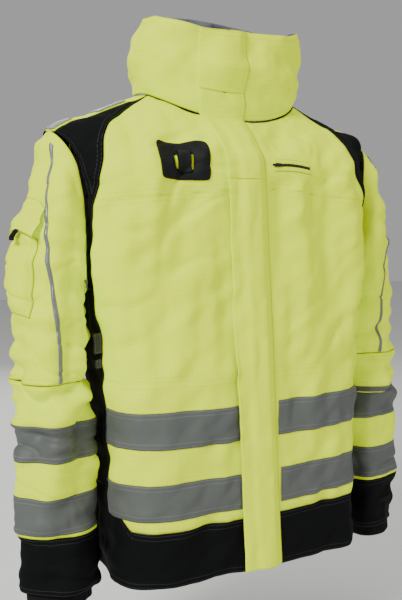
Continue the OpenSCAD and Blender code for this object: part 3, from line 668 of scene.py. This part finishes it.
# %% Rubber, plastic and metal
def moulded(name, light, dark, rough, metal=0.0, scale=260.0, bump=0.15, shine=0.5):
    material = bpy.data.materials.new(name)
    material.use_nodes = True
    tree = material.node_tree
    shader = tree.nodes["Principled BSDF"]
    place = tree.nodes.new("ShaderNodeTexCoord").outputs["Object"]
    grains = tree.nodes.new("ShaderNodeTexVoronoi")
    grains.inputs["Scale"].default_value = scale
    tree.links.new(place, grains.inputs["Vector"])
    worn = use_group(tree, WEAR, Place=place)
    tree.links.new(blend_colour(tree, worn["Blotches"], dark, light), shader.inputs["Base Color"])
    ranges = tree.nodes.new("ShaderNodeMapRange")
    tree.links.new(worn["Blotches"], ranges.inputs["Value"])
    ranges.inputs["To Min"].default_value, ranges.inputs["To Max"].default_value = rough - 0.1, rough + 0.1
    tree.links.new(ranges.outputs[0], shader.inputs["Roughness"])
    relief = tree.nodes.new("ShaderNodeBump")
    relief.inputs["Strength"].default_value = bump
    relief.inputs["Distance"].default_value = 0.0004
    shader.inputs["Specular IOR Level"].default_value = shine
    tree.links.new(grains.outputs["Distance"], relief.inputs["Height"])
    tree.links.new(relief.outputs[0], shader.inputs["Normal"])
    shader.inputs["Metallic"].default_value = metal
    return material


RUBBER = moulded("patch_rubber", (0.009, 0.0095, 0.0095), (0.005, 0.0052, 0.0055), 0.6, shine=0.12)
PLASTIC = moulded("moulded_plastic", (0.012, 0.012, 0.013), (0.006, 0.006, 0.007), 0.5, scale=500.0,
                   shine=0.25)
ZINC = moulded("satin_zinc", (0.56, 0.57, 0.58), (0.38, 0.38, 0.4), 0.35, metal=1.0, scale=700.0, bump=0.05)

# %% [markdown]
# ## The body
# The front is cut in two along the zip. Each front runs from the hem to the neck seam and carries two
# seam lines: the yoke seam across the chest and the waist seam.

# %% Front panels
def chest_seam(grid):
    return grid[..., 2] + 162 + 0.08 * np.abs(grid[..., 0])


def waist_seam(grid):
    return grid[..., 2] + 423


ZIP_EDGE = 5


def front_place(side):
    def place(u, v, d):
        w = u if side > 0 else 1 - u
        s = mix(hem_s(FRONT_SEAM[0] * w) + 0.004, NECK - 0.012, v)
        near = phi_at(s, zip_x(z_of(s)) + side * ZIP_EDGE)
        return body(s, mix(near, side * (seam_at(side, s) - GAP), w), d)
    return place


for side, word in ((-1, "right"), (1, "left")):
    panel = cut(word + "_front_cloth", front_place(side), (260, 610), seams=(chest_seam, waist_seam),
                material=YELLOW, inside=LINING)
    belongs(panel, "torso", "outer_cloth", word + "_front")

# %% [markdown]
# The back is one piece. Under each arm and over the front and back of each shoulder lies a black piece,
# and over the shoulder's ridge a yellow yoke with two bars of tape.

# %% Back, side pieces and yokes
def back_place(low, high):
    def place(u, v, d):
        w = np.abs(2 * u - 1)
        first = low(mix(180, BACK_SEAM[0], w))
        s = mix(first, high, v)
        return body(s, 180 + (180 - along(BACK_SEAM, s) - GAP) * (2 * u - 1), d)
    return place


back = cut("back_panel_cloth", back_place(lambda p: hem_s(p) + 0.004, NECK - 0.012), (420, 620),
           seams=(waist_seam,), material=YELLOW, inside=LINING)
belongs(back, "torso", "outer_cloth", "back_panel")


def between(side, low, high, first, last):
    """A piece of the body from direction first(s) to last(s), on the wearer's left or right."""
    def place(u, v, d):
        s = mix(low, high, v)
        return body(s, side * mix(first(s), last(s), u), d)
    return place


def join(name, parts):
    """One object from several cuts that are one piece of cloth."""
    bpy.context.view_layer.update()
    for part in parts:
        part.select_set(True)
    bpy.context.view_layer.objects.active = parts[0]
    with bpy.context.temp_override(active_object=parts[0], selected_editable_objects=parts,
                                   selected_objects=parts, object=parts[0]):
        bpy.ops.object.join()
    parts[0].name = name
    areas = [made.pop(part_name) for part_name in list(made) if part_name.startswith(name + "_part")]
    height = max(a[1] for a in areas)
    made[name] = (sum(a[2] for a in areas) / height, height, sum(a[2] for a in areas))
    return parts[0]


def back_seam(s):
    return along(BACK_SEAM, s) - GAP


hem_side = float(hem_s(np.array(90.0)))
for side, word in ((-1, "right"), (1, "left")):
    name = word + "_side_cloth"

    def front_seam(s, side=side):
        return seam_at(side, s) + GAP

    parts = [
        cut(name + "_part1", between(side, hem_side + 0.004, PIT - 0.012, front_seam, back_seam),
            (90, 270), sewn="lr", material=BLACK),
        cut(name + "_part2", between(side, PIT + 0.0, NECK - 0.012, front_seam,
                                     lambda s: front_edge(s) - 0.15), (50, 330), material=BLACK, sewn="lr"),
        cut(name + "_part3", between(side, PIT + 0.0, NECK - 0.012, lambda s: back_edge(s) + 0.15,
                                     back_seam), (50, 330), material=BLACK, sewn="lr"),
    ]
    belongs(join(name, parts), "torso", "black_cloth", word + "_side_panel")
    yoke = cut(word + "_yoke_cloth", between(side, TIP + 0.008, NECK - 0.012,
                                             lambda s: front_edge(s) + 0.2, lambda s: back_edge(s) - 0.2),
               (60, 150), step=2.6, material=YELLOW, inside=LINING)
    belongs(yoke, "torso", "outer_cloth", word + "_yoke")

bars = []
for side in (-1, 1):
    for bar, (low, high) in enumerate(((6.08, 6.5), (7.02, 7.5))):
        place = between(side, low, high, lambda s: front_edge(s) + 1, lambda s: back_edge(s) - 1)
        bars.append(cut(f"shoulder_bars_part{side + 1}{bar}", lambda u, v, d, f=place: f(u, v, d + 1.5),
                        (60, 34), thick=0.6, step=2.6, dip=0.3, material=SHOULDER_TAPE))
belongs(join("shoulder_bars", bars), "torso", "reflective_tape", "yoke_tapes")

# %% [markdown]
# The black hem is three pieces. It rises in a curve to meet the side pieces, and it carries the same
# folds as the panels above it.

# %% Hem
def hem_front_place(side):
    def place(u, v, d):
        w = u if side > 0 else 1 - u
        s = mix(0, hem_s(mix(4, 90, w)) - 0.004, v)
        near = phi_at(s, np.full_like(s, zip_x(HEM_Z) + side * ZIP_EDGE))
        return body(s, mix(near, side * (90 - GAP), w), d)
    return place


def hem_back_place(u, v, d):
    phi = mix(90 + GAP, 270 - GAP, u)
    return body(mix(0, hem_s(np.where(phi > 180, 360 - phi, phi)) - 0.004, v), phi, d)


for side, word in ((-1, "right"), (1, "left")):
    piece = cut(word + "_hem_cloth", hem_front_place(side), (300, 90), material=BLACK)
    belongs(piece, "torso", "black_cloth", "hem_" + word)
belongs(cut("back_hem_cloth", hem_back_place, (480, 90), material=BLACK), "torso", "black_cloth", "hem_back")

# %% [markdown]
# Two tapes run round the body and stop at the black side pieces. A tape is its own thin strip that lies
# on the cloth, so its edge is real and casts a fine shadow.

# %% Tapes round the body
TAPE_W, TAPE_GAP, TAPE_UP, ON_TOP = 50, 48, 93, 1.5
TAPES_Z = [HEM_Z + TAPE_UP, HEM_Z + TAPE_UP + TAPE_W + TAPE_GAP]


def front_tape_place(side, z):
    def place(u, v, d):
        w = u if side > 0 else 1 - u
        s = s_at(z + TAPE_W * v)
        near = phi_at(s, np.full_like(s, sewn_x(z) + 3 if side > 0 else zip_x(z) - ZIP_EDGE - 10))
        return body(s, mix(near, side * (seam_at(side, s) - 0.6), w), d + ON_TOP)
    return place


def back_tape_place(z):
    def place(u, v, d):
        s = s_at(z + TAPE_W * v)
        return body(s, 180 + (180 - along(BACK_SEAM, s) - 0.6) * (2 * u - 1), d + ON_TOP)
    return place


for side, word in ((-1, "right"), (1, "left")):
    name = word + "_front_tape"
    strips = [cut(f"{name}_part{i}", front_tape_place(side, z), (210, TAPE_W), sewn="tb", thick=0.6,
                  step=2.5, dip=0.4, material=TAPE) for i, z in enumerate(TAPES_Z)]
    belongs(join(name, strips), "torso", "reflective_tape", "front_tapes_" + word)
strips = [cut(f"back_tape_part{i}", back_tape_place(z), (420, TAPE_W), sewn="tb", thick=0.6, step=2.5,
              dip=0.4, material=TAPE) for i, z in enumerate(TAPES_Z)]
belongs(join("back_tape", strips), "torso", "reflective_tape", "back_tapes")

# %% [markdown]
# ## The collar
# The stand-up collar is a yellow band with a grey lining. It opens under its flap, to the wearer's right
# of the middle.

# %% Collar
def collar_place(inset):
    def place(u, v, d):
        return collar(v, mix(COLLAR_OPEN + COLLAR_SLIT, 360 + COLLAR_OPEN - COLLAR_SLIT, u), d - inset)
    return place


shell = cut("collar_cloth", collar_place(0), (640, 115), material=YELLOW, step=3.0)
belongs(shell, "torso", "outer_cloth", "collar_shell")
lining = cut("collar_lining_cloth", collar_place(1.9), (640, 115), material=LINING, thick=2.0, step=4.5)
belongs(lining, "torso", "lining", "collar_lining")

# %% [markdown]
# ## The sleeves
# The upper sleeve is one cloth from the armhole to above the elbow; the lower sleeve runs on to the cuff.
# The band where each would bend is given but not used: both halves stay fixed where they are cut, and the
# frame's parts they cover are hidden. So do the tapes and piping on them.

# %% Sleeve cloth
K_SEAM, K_CUFF = 4.0, 6.0
LIFT_DIR = np.array([0.5, 0, -0.866])
LIFT_START, LIFT_END = 375, 446
BEND_START, BEND_END = TOP_ELBOW - 2, LOW_ELBOW


def lift_bend(piece, side, word, slot, *nodes):
    flip = np.array([side, 1, 1])
    return bends(piece, "torso", word + "_upper_arm", LIFT_DIR * flip * LIFT_START * MM,
                 LIFT_DIR * flip * LIFT_END * MM, slot, *nodes)


def elbow_bend(piece, word, slot, *nodes):
    return bends(piece, word + "_upper_arm", word + "_forearm", (0, 0, BEND_START * MM),
                 (0, 0, BEND_END * MM), slot, *nodes)


def sleeve_place(side, k0, k1, lift=0.0):
    return lambda u, v, d: sleeve(side, mix(k0, k1, v), 360 * u + 200, d + lift)


for side, word in ((-1, "right"), (1, "left")):
    upper = cut(word + "_upper_sleeve_cloth", sleeve_place(side, 0.0, K_SEAM - 0.004), (370, 330), sewn="tb",
                tube=True, material=YELLOW, inside=LINING)
    lift_bend(upper, side, word, "outer_cloth", word + "_sleeve_head", word + "_sleeve_bend",
              word + "_upper_sleeve")
    lower = cut(word + "_lower_sleeve_cloth", sleeve_place(side, K_SEAM + 0.004, K_CUFF - 0.004), (360, 210),
                sewn="tb", tube=True, material=YELLOW, inside=LINING)
    elbow_bend(lower, word, "outer_cloth", word + "_elbow", word + "_lower_sleeve")

# %% [markdown]
# Each sleeve has two tapes, a black cuff and a knitted wristlet inside it. The upper tape lies on the
# elbow's soft zone.

# %% Sleeve tapes, cuffs and wristlets
SLEEVE_TAPES = [-476, -574]
for side, word in ((-1, "right"), (1, "left")):
    upper, lower = [cut(f"{word}_sleeve_tape_{i + 1}", sleeve_place(side, k_at(z), k_at(z - TAPE_W), 1.2),
                        (360, TAPE_W), sewn="tb", thick=0.6, step=2.5, dip=0.4, tube=True, material=TAPE)
                    for i, z in enumerate(SLEEVE_TAPES)]
    elbow_bend(upper, word, "reflective_tape", word + "_sleeve_tapes")
    belongs(lower, word + "_forearm", "reflective_tape", word + "_sleeve_tapes")
    cuff = cut(word + "_cuff_cloth", sleeve_place(side, K_CUFF + 0.004, 7.0), (350, 78), tube=True,
               sewn="tb", material=BLACK)
    belongs(cuff, word + "_forearm", "black_cloth", word + "_cuff")


def wristlet_place(side):
    """A ribbed tube: it starts against the cuff's inside and comes out below it."""
    def place(u, v, d):
        k = mix(6.4, 7, np.minimum(1, v * 1.25))
        ribs = 0.5 * np.sin(np.radians(360 * u * 64))
        p = sleeve(side, k, 360 * u, d + ribs - mix(2.2, 7.5, ease(v * 3)), 0.4)
        return p + np.stack([0 * v, 0 * v - 2, 0 * v - 18], -1) * np.maximum(0, (v - 0.8) / 0.2)[:, None]
    return place


for side, word in ((-1, "right"), (1, "left")):
    knit = cut(word + "_wristlet_knit", wristlet_place(side), (640, 64), tube=True, sewn="", thick=1.6,
               step=2.4, material=KNIT)
    belongs(knit, word + "_forearm", "knit", word + "_wristlet")

# %% [markdown]
# Grey piping is sewn into the front seam of each sleeve, from the shoulder to the elbow. It is a narrow
# round-backed strip.

# %% Piping
def pipe_psi(k):
    return mix(24, 84, ease(k / 3.4))


def piping_place(side):
    def place(u, v, d):
        k = mix(0.35, 3.98, v)
        round_back = 1.4 * np.sin(np.pi * u)
        psi = pipe_psi(k) + (u - 0.5) * 7
        return sleeve(side, k, psi, d + 0.5 + round_back)
    return place


for side, word in ((-1, "right"), (1, "left")):
    pipe = cut(word + "_piping_strip", piping_place(side), (10, 330), sewn="", thick=0.8, step=1.6, dip=0,
               material=PIPING)
    lift_bend(pipe, side, word, "piping_tape", word + "_piping")

# %% [markdown]
# ## The closure
# The storm flap is a long strip sewn on the wearer's left of the zip. It arches over the zip and its free
# edge hangs just off the cloth. It turns about its sewn edge, as a whole.

# %% The line of the zip
def front(s, x, d):
    return body(s, phi_at(s, np.asarray(x, float)), d)


def plain_front(s, x):
    return body(s, phi_at(s, np.asarray(x, float)), 0.0, 0.0)


ZIP_TOP_Z, ZIP_LOW_Z, ZIP_LIFT = -142, HEM_Z + 16, 3
ZIP_TOP, ZIP_LOW = [plain_front(s_at(z), zip_x(z)) for z in (ZIP_TOP_Z, ZIP_LOW_Z)]
ZIP_DIR = (ZIP_LOW - ZIP_TOP) / np.linalg.norm(ZIP_LOW - ZIP_TOP)


def zip_pt(t, across, out):
    t, across, out = np.broadcast_arrays(*(np.asarray(x, float) for x in (t, across, out)))
    return ZIP_TOP + (ZIP_LOW - ZIP_TOP) * t[..., None] + np.stack([across, -out, 0 * t], -1)


def flap_arch(u):
    rise = mix(9.2, 1.7, ease((u - 0.74) / 0.26))
    return np.where(u > 0.74, rise, mix(5, 9.2, ease((u - 0.24) / 0.2)))


def flap_chord(z, u, d):
    x = mix(free_x(z), sewn_x(z), u)
    base = zip_pt((ZIP_TOP_Z - z) / (ZIP_TOP_Z - ZIP_LOW_Z), 0, flap_arch(u) + d)
    p = np.stack([x, base[..., 1], z + 0 * x], -1)
    waves = np.abs(wrinkle(p, (30, 40, 75), 71.3)) * 5
    lift = body_folds(plain_front(s_at(z), x)) + (1 - ease(u * 3 - 2)) * waves
    lift = mix(lift, np.maximum(lift, 0.4), ease((flap_arch(u) - 5.2) / 2))
    return p - lift[..., None] * np.array([0, 1, 0])


print("zip runs", round(float(np.linalg.norm(ZIP_LOW - ZIP_TOP))), "mm")

# %% [markdown]
# The flap is cut as one strip between its two edges. Under its free edge is a strip of hooks, and a
# strip of loops lies on the coat below.

# %% Storm flap
FLAP_TOP_Z = -152
storm = cut("storm_flap_cloth", lambda u, v, d: flap_chord(mix(HEM_Z + 2, FLAP_TOP_Z, v), u, d),
            (FLAP_W, 550), step=2.6, sewn="r", dip=0.5, material=YELLOW)
belongs(storm, "front_flap", "outer_cloth", "storm_flap")
hooks = cut("flap_hook_strip", lambda u, v, d: flap_chord(mix(HEM_Z + 30, FLAP_TOP_Z - 20, v),
                                                          mix(0.04, 0.22, u), d - 1.9),
            (12, 500), step=3, dip=0, thick=0.7, material=HOOK)
belongs(hooks, "front_flap", "hook_and_loop", "flap_hook_tape")


def loop_place(u, v, d):
    z = mix(HEM_Z + 30, FLAP_TOP_Z - 20, v)
    return front(s_at(z), mix(free_x(z) + 2.5, free_x(z) + 14, u), d + 2.8)


loops = cut("front_loop_strip", loop_place, (12, 500), step=3, dip=0, thick=0.7, material=HOOK)
belongs(loops, "torso", "hook_and_loop", "front_loop_tape")

# %% [markdown]
# Above the storm flap the same cloth runs over the neck seam and up the collar. That stretch stays sewn at
# the neck, and stays fixed in place.

# %% The flap over the neck and the collar
COLLAR_FREE, COLLAR_SEWN, THROAT_H = -43, 2, 0.3


def flap_on_collar(h, u, d):
    phi = mix(COLLAR_FREE - 4 * h, COLLAR_SEWN, u)
    return collar(h, phi, mix(2.6, 0.7, ease(u * 4 - 3)) + d + 1.2)


def throat_place(u, v, d):
    """The lower part lies between the flap and the neck seam, the upper part on the collar."""
    t = np.minimum(1, v / 0.68)
    z = mix(FLAP_TOP_Z + 0.6, -70.0, t)
    low, fade = flap_chord(z, u, d), ease(t * 1.6)
    s = s_at(z)
    high = front(s, mix(free_x(z), sewn_x(z), u), flap_arch(u) * (1 + 0.3 * t) + d)
    below = low + (high - low) * np.stack([fade, fade, 0 * fade], -1)
    above = flap_on_collar(np.maximum(0.01, (v - 0.76) / 0.24 * (THROAT_H - 0.02) + 0.01), u, d)
    return below + (above - below) * ease((v - 0.66) / 0.12)[:, None]


throat = cut("flap_throat_cloth", throat_place, (FLAP_W, 120), step=2.4, sewn="r", dip=0.5, material=YELLOW)
bends(throat, "torso", "front_flap", (0, 0, -0.08), (0, 0, -0.15), "outer_cloth", "flap_throat")
neck_flap = cut("collar_flap_cloth", lambda u, v, d: flap_on_collar(mix(THROAT_H, 0.985, v), u, d),
                (76, 84), step=2.4, sewn="rt", dip=0.5, material=YELLOW)
bends(neck_flap, "torso", "collar_flap", (0, 0, -0.05), (0, 0, -0.01), "outer_cloth", "collar_flap")

# %% [markdown]
# Under the flap is the zip: two tapes, two rows of small teeth and the slider with its pull. One pair of
# teeth is modelled; an array repeats it down the zip.

# %% Zip
for side, word in ((-1, "right"), (1, "left")):
    edge = (0.4, 15) if side > 0 else (-15, -0.4)
    tape = cut("zip_tape_" + word + "_cloth",
               lambda u, v, d, e=edge: zip_pt(1 - v, mix(e[0], e[1], u), ZIP_LIFT - 1.3 + d),
               (15, 546), step=3, dip=0, thick=0.8, material=BLACK)
    belongs(tape, "torso", "black_cloth", "zip_tape_" + word)

PITCH = 2.5
bm = bmesh.new()
for side in (-1, 1):
    middle = zip_pt(0, side * 1.6, ZIP_LIFT) + ZIP_DIR * (1.2 if side > 0 else 2.45)
    box = Matrix.Translation(Vector(middle * MM)) @ Matrix.Diagonal((0.0028, 0.002, 0.0011, 1))
    bmesh.ops.create_cube(bm, size=1, matrix=box)
bmesh.ops.bevel(bm, geom=bm.edges[:], offset=0.00025, segments=2, affect="EDGES", profile=0.5)
teeth = finish_mesh("zip_teeth_rows", bm, PLASTIC)
repeat = teeth.modifiers.new("down_the_zip", "ARRAY")
repeat.count = int(np.linalg.norm(ZIP_LOW - ZIP_TOP) / PITCH) - 1
repeat.use_relative_offset, repeat.use_constant_offset = False, True
repeat.constant_offset_displace = tuple(ZIP_DIR * PITCH * MM)
belongs(teeth, "torso", "moulded_plastic", "zip_teeth")

for node, material in (("zip_slider", ZINC), ("zip_pull", PLASTIC), ("zip_box", PLASTIC),
                       ("chest_zip_slider", PLASTIC)):
    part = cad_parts[node]
    part.data.materials.clear()
    part.data.materials.append(material)
    soft_edges = part.modifiers.new("soft_edges", "BEVEL")
    soft_edges.width, soft_edges.segments = 0.0002, 2

# %% [markdown]
# ## The fittings on the chest
# The radio patch is a moulded plate with two slots and a raised strap between them. The plate starts as a
# grid; the faces inside the slots are taken out and its corners are pulled in.

# %% Radio patch
PATCH_X, PATCH_Z, PATCH_TILT, PATCH_W, PATCH_H = -113, -127, math.radians(3), 68, 52


def patch_pt(px, pz, d):
    x = PATCH_X + px * math.cos(PATCH_TILT) + pz * math.sin(PATCH_TILT)
    z = PATCH_Z - px * math.sin(PATCH_TILT) + pz
    return front(s_at(z), x, d)


def patch_place(u, v, d):
    a, b = 2 * u - 1, 2 * v - 1
    pull = 1 - 0.065 * np.abs(a * b) ** 8
    rim = np.minimum(1, 7 * np.minimum(1 - np.abs(a), 1 - np.abs(b)))
    return patch_pt(a * pull * PATCH_W / 2, b * pull * PATCH_H / 2, d + 1.8 + 0.7 * rim)


plate = cut("radio_patch_plate", patch_place, (PATCH_W, PATCH_H), step=1, sewn="", dip=0, thick=1.6,
            material=RUBBER)
bm = bmesh.new()
bm.from_mesh(plate.data)
layer = bm.loops.layers.uv.active


def in_slot(face):
    across, up = [sum(loop[layer].uv[i] for loop in face.loops) / 4 / MM for i in (0, 1)]
    return 8.5 < abs(across) < 13.5 and abs(up - PATCH_H / 2) < 11


bmesh.ops.delete(bm, geom=[f for f in bm.faces if in_slot(f)], context="FACES")
bm.to_mesh(plate.data)
bm.free()
belongs(plate, "torso", "patch_rubber", "mic_patch")


def strap_place(u, v, d):
    bow = np.sqrt(np.sin(np.pi * np.clip(v, 0.0, 1)) + 1e-6)
    return patch_pt(mix(-8.4, 8.4, u), mix(-16, 16, v), 3.0 + 6 * bow + d)


strap = cut("radio_patch_strap", strap_place, (17, 34), step=0.9, sewn="", dip=0, thick=1.2, material=RUBBER)
belongs(strap, "torso", "patch_rubber", "mic_loop")

# %% [markdown]
# The chest pocket on the wearer's left is a zip between two yellow lips, with its bag inside the coat.

# %% Chest pocket
def mouth_x(t):
    return 55 + (t - 0.5) * 62


def mouth_z(t):
    return -131 + 1.2 * np.sin(np.pi * t) - 3 * t * t


def mouth_place(low, high, lift):
    def place(u, v, d):
        z = mouth_z(u) + mix(low, high, v)
        return front(s_at(z), mouth_x(u), d + lift)
    return place


belongs(cut("chest_zip_strip", mouth_place(-3, 3, 0.9), (62, 6), step=1, sewn="", dip=0, thick=0.8,
            material=PLASTIC), "torso", "black_cloth", "chest_zip")
for word, low, high in (("upper", 1.8, 8.0), ("lower", -8.4, -2.2)):
    belongs(cut("chest_pocket_" + word + "_lip", mouth_place(low, high, 1.5), (62, 6), step=1.2, dip=0.4,
                sewn="tb", thick=0.9, material=YELLOW), "torso", "outer_cloth")


def bag_place(u, v, d):
    z = mix(-281, -133, v)
    return front(s_at(z), mix(mouth_x(0) - 2, mouth_x(1) + 30, u), d - 3.2)


belongs(cut("chest_pocket_bag_cloth", bag_place, (94, 148), step=5, thick=1.2, material=BLACK), "torso",
        "black_cloth", "chest_pocket_bag")

# %% [markdown]
# A hang loop at the nape and a small label and tab in the wearer's right side seam finish the body. The
# label sticks straight out of the seam.

# %% Hang loop, label and tab
NAPE = body_pt(np.array(8.0), np.array(180.0))


def loop_ring(u, v, d):
    a, r = np.pi * u, mix(22, 30, v)
    return np.stack([r * np.cos(a), NAPE[1] - 6.8 - d + 0 * a, -2 - mix(18, 26, v) * np.sin(a)], -1)


belongs(cut("hang_loop_strap", loop_ring, (78, 8), step=1.5, dip=0, thick=1.2, sewn="tb", material=BLACK),
        "hanger", "black_cloth", "hang_loop")


def seam_tab(z, width, height):
    def place(u, v, d):
        h = z + (v - 0.5) * height
        s = s_at(h)
        p = body(s, -seam_at(-1, s), width * u - 0.5)
        return p + np.array([0, -1.0, 0]) * np.asarray(d, float)
    return place


belongs(cut("side_label_cloth", seam_tab(-374, 12, 28), (12, 28), step=1.5, dip=0, sewn="lrbt",
            material=LABEL), "torso", "label_cloth", "side_label")
belongs(cut("side_tab_cloth", seam_tab(-402, 9, 12), (9, 12), step=1.5, dip=0, sewn="lrbt",
            material=LABEL), "torso", "label_cloth", "side_tab")

# %% [markdown]
# ## The pocket on the sleeve
# The pocket is a pouch with a raised rim on the wearer's right upper sleeve. Its stiff flap stands off at
# the lower edge and has a small black tab.

# %% Sleeve pocket, flap and tab
def pocket_place(u, v, d):
    rim = np.minimum(1, 6 * np.minimum(np.minimum(u, 1 - u), 1 - v) + 0.12)
    return sleeve(-1, mix(1.72, 2.86, v), mix(-44, 40, u), 1.8 + 7 * ease(rim) + d)


pocket = cut("sleeve_pocket_cloth", pocket_place, (90, 100), step=2.4, material=YELLOW)
lift_bend(pocket, -1, "right", "outer_cloth", "sleeve_pocket")


def pocket_flap_place(u, v, d):
    bow = 3 * np.sin(np.pi * u) * v
    return sleeve(-1, mix(1.34, 1.7, v), mix(-46, 42, u), 2.2 + 13 * v + bow * 0.6 + d)


belongs(cut("sleeve_pocket_flap_cloth", pocket_flap_place, (96, 44), step=2, material=YELLOW),
        "arm_pocket_flap", "outer_cloth", "sleeve_pocket_flap")


def pocket_tab_place(u, v, d):
    return sleeve(-1, mix(1.69, 1.82, v), mix(-2, 10, u), 16.0 + 3 * v + d)


belongs(cut("sleeve_pocket_tab_strap", pocket_tab_place, (12, 14), step=1.2, dip=0, material=BLACK),
        "arm_pocket_flap", "moulded_plastic", "sleeve_pocket_tab")

# %% [markdown]
# ## The liner
# Inside hangs a quilted liner in three parts. It rises to the outer cloth at its edges, and diamonds of
# stitching pull it in.

# %% Liner
def quilt(points, d):
    a, b = points[..., 0] + points[..., 2], points[..., 0] - points[..., 2]
    return d + 1.6 * np.sqrt(np.abs(np.sin(np.pi * a / 60) * np.sin(np.pi * b / 60)))


def sewn_in(u, v):
    near = np.minimum(np.minimum(u, 1 - u), np.minimum(v, 1 - v))
    return 5.2 * (1 - ease(5 * near))


def liner_front_place(side):
    def place(u, v, d):
        w = u if side > 0 else 1 - u
        s = mix(s_at(HEM_Z + 40), NECK - 0.12, v)
        near = phi_at(s, zip_x(z_of(s)) + side * ZIP_EDGE)
        phi = mix(near, side * (seam_at(side, s) - GAP), w)
        return body(s, phi, quilt(body_pt(s, phi), d) - 9.6 + sewn_in(u, v))
    return place


def liner_back_place(u, v, d):
    s = mix(s_at(HEM_Z + 40), NECK - 0.12, v)
    phi = 180 + (180 - along(BACK_SEAM, s)) * (2 * u - 1)
    return body(s, phi, quilt(body_pt(s, phi), d) - 9.6 + sewn_in(u, v))


for side, word in ((-1, "right"), (1, "left")):
    belongs(cut("liner_" + word + "_quilt", liner_front_place(side), (260, 560), step=6, thick=1.4,
                material=LINING), "torso", "lining", "liner_" + word)
belongs(cut("liner_back_quilt", liner_back_place, (420, 570), step=6, thick=1.4, material=LINING),
        "torso", "lining", "liner_back")

# %% [markdown]

# %% [markdown]
# The floor is the only thing in the scene that isn't the coat.

# %% Floor
bm = bmesh.new()
bmesh.ops.create_grid(bm, x_segments=1, y_segments=1, size=8,
                      matrix=Matrix.Translation((0, 0, HEM_Z * MM - 0.2)))
floor = finish_mesh("floor", bm, moulded("pale_floor", (0.8, 0.8, 0.79), (0.76, 0.76, 0.75), 0.8, scale=60))

# %% Last update of the scene
bpy.context.view_layer.update()
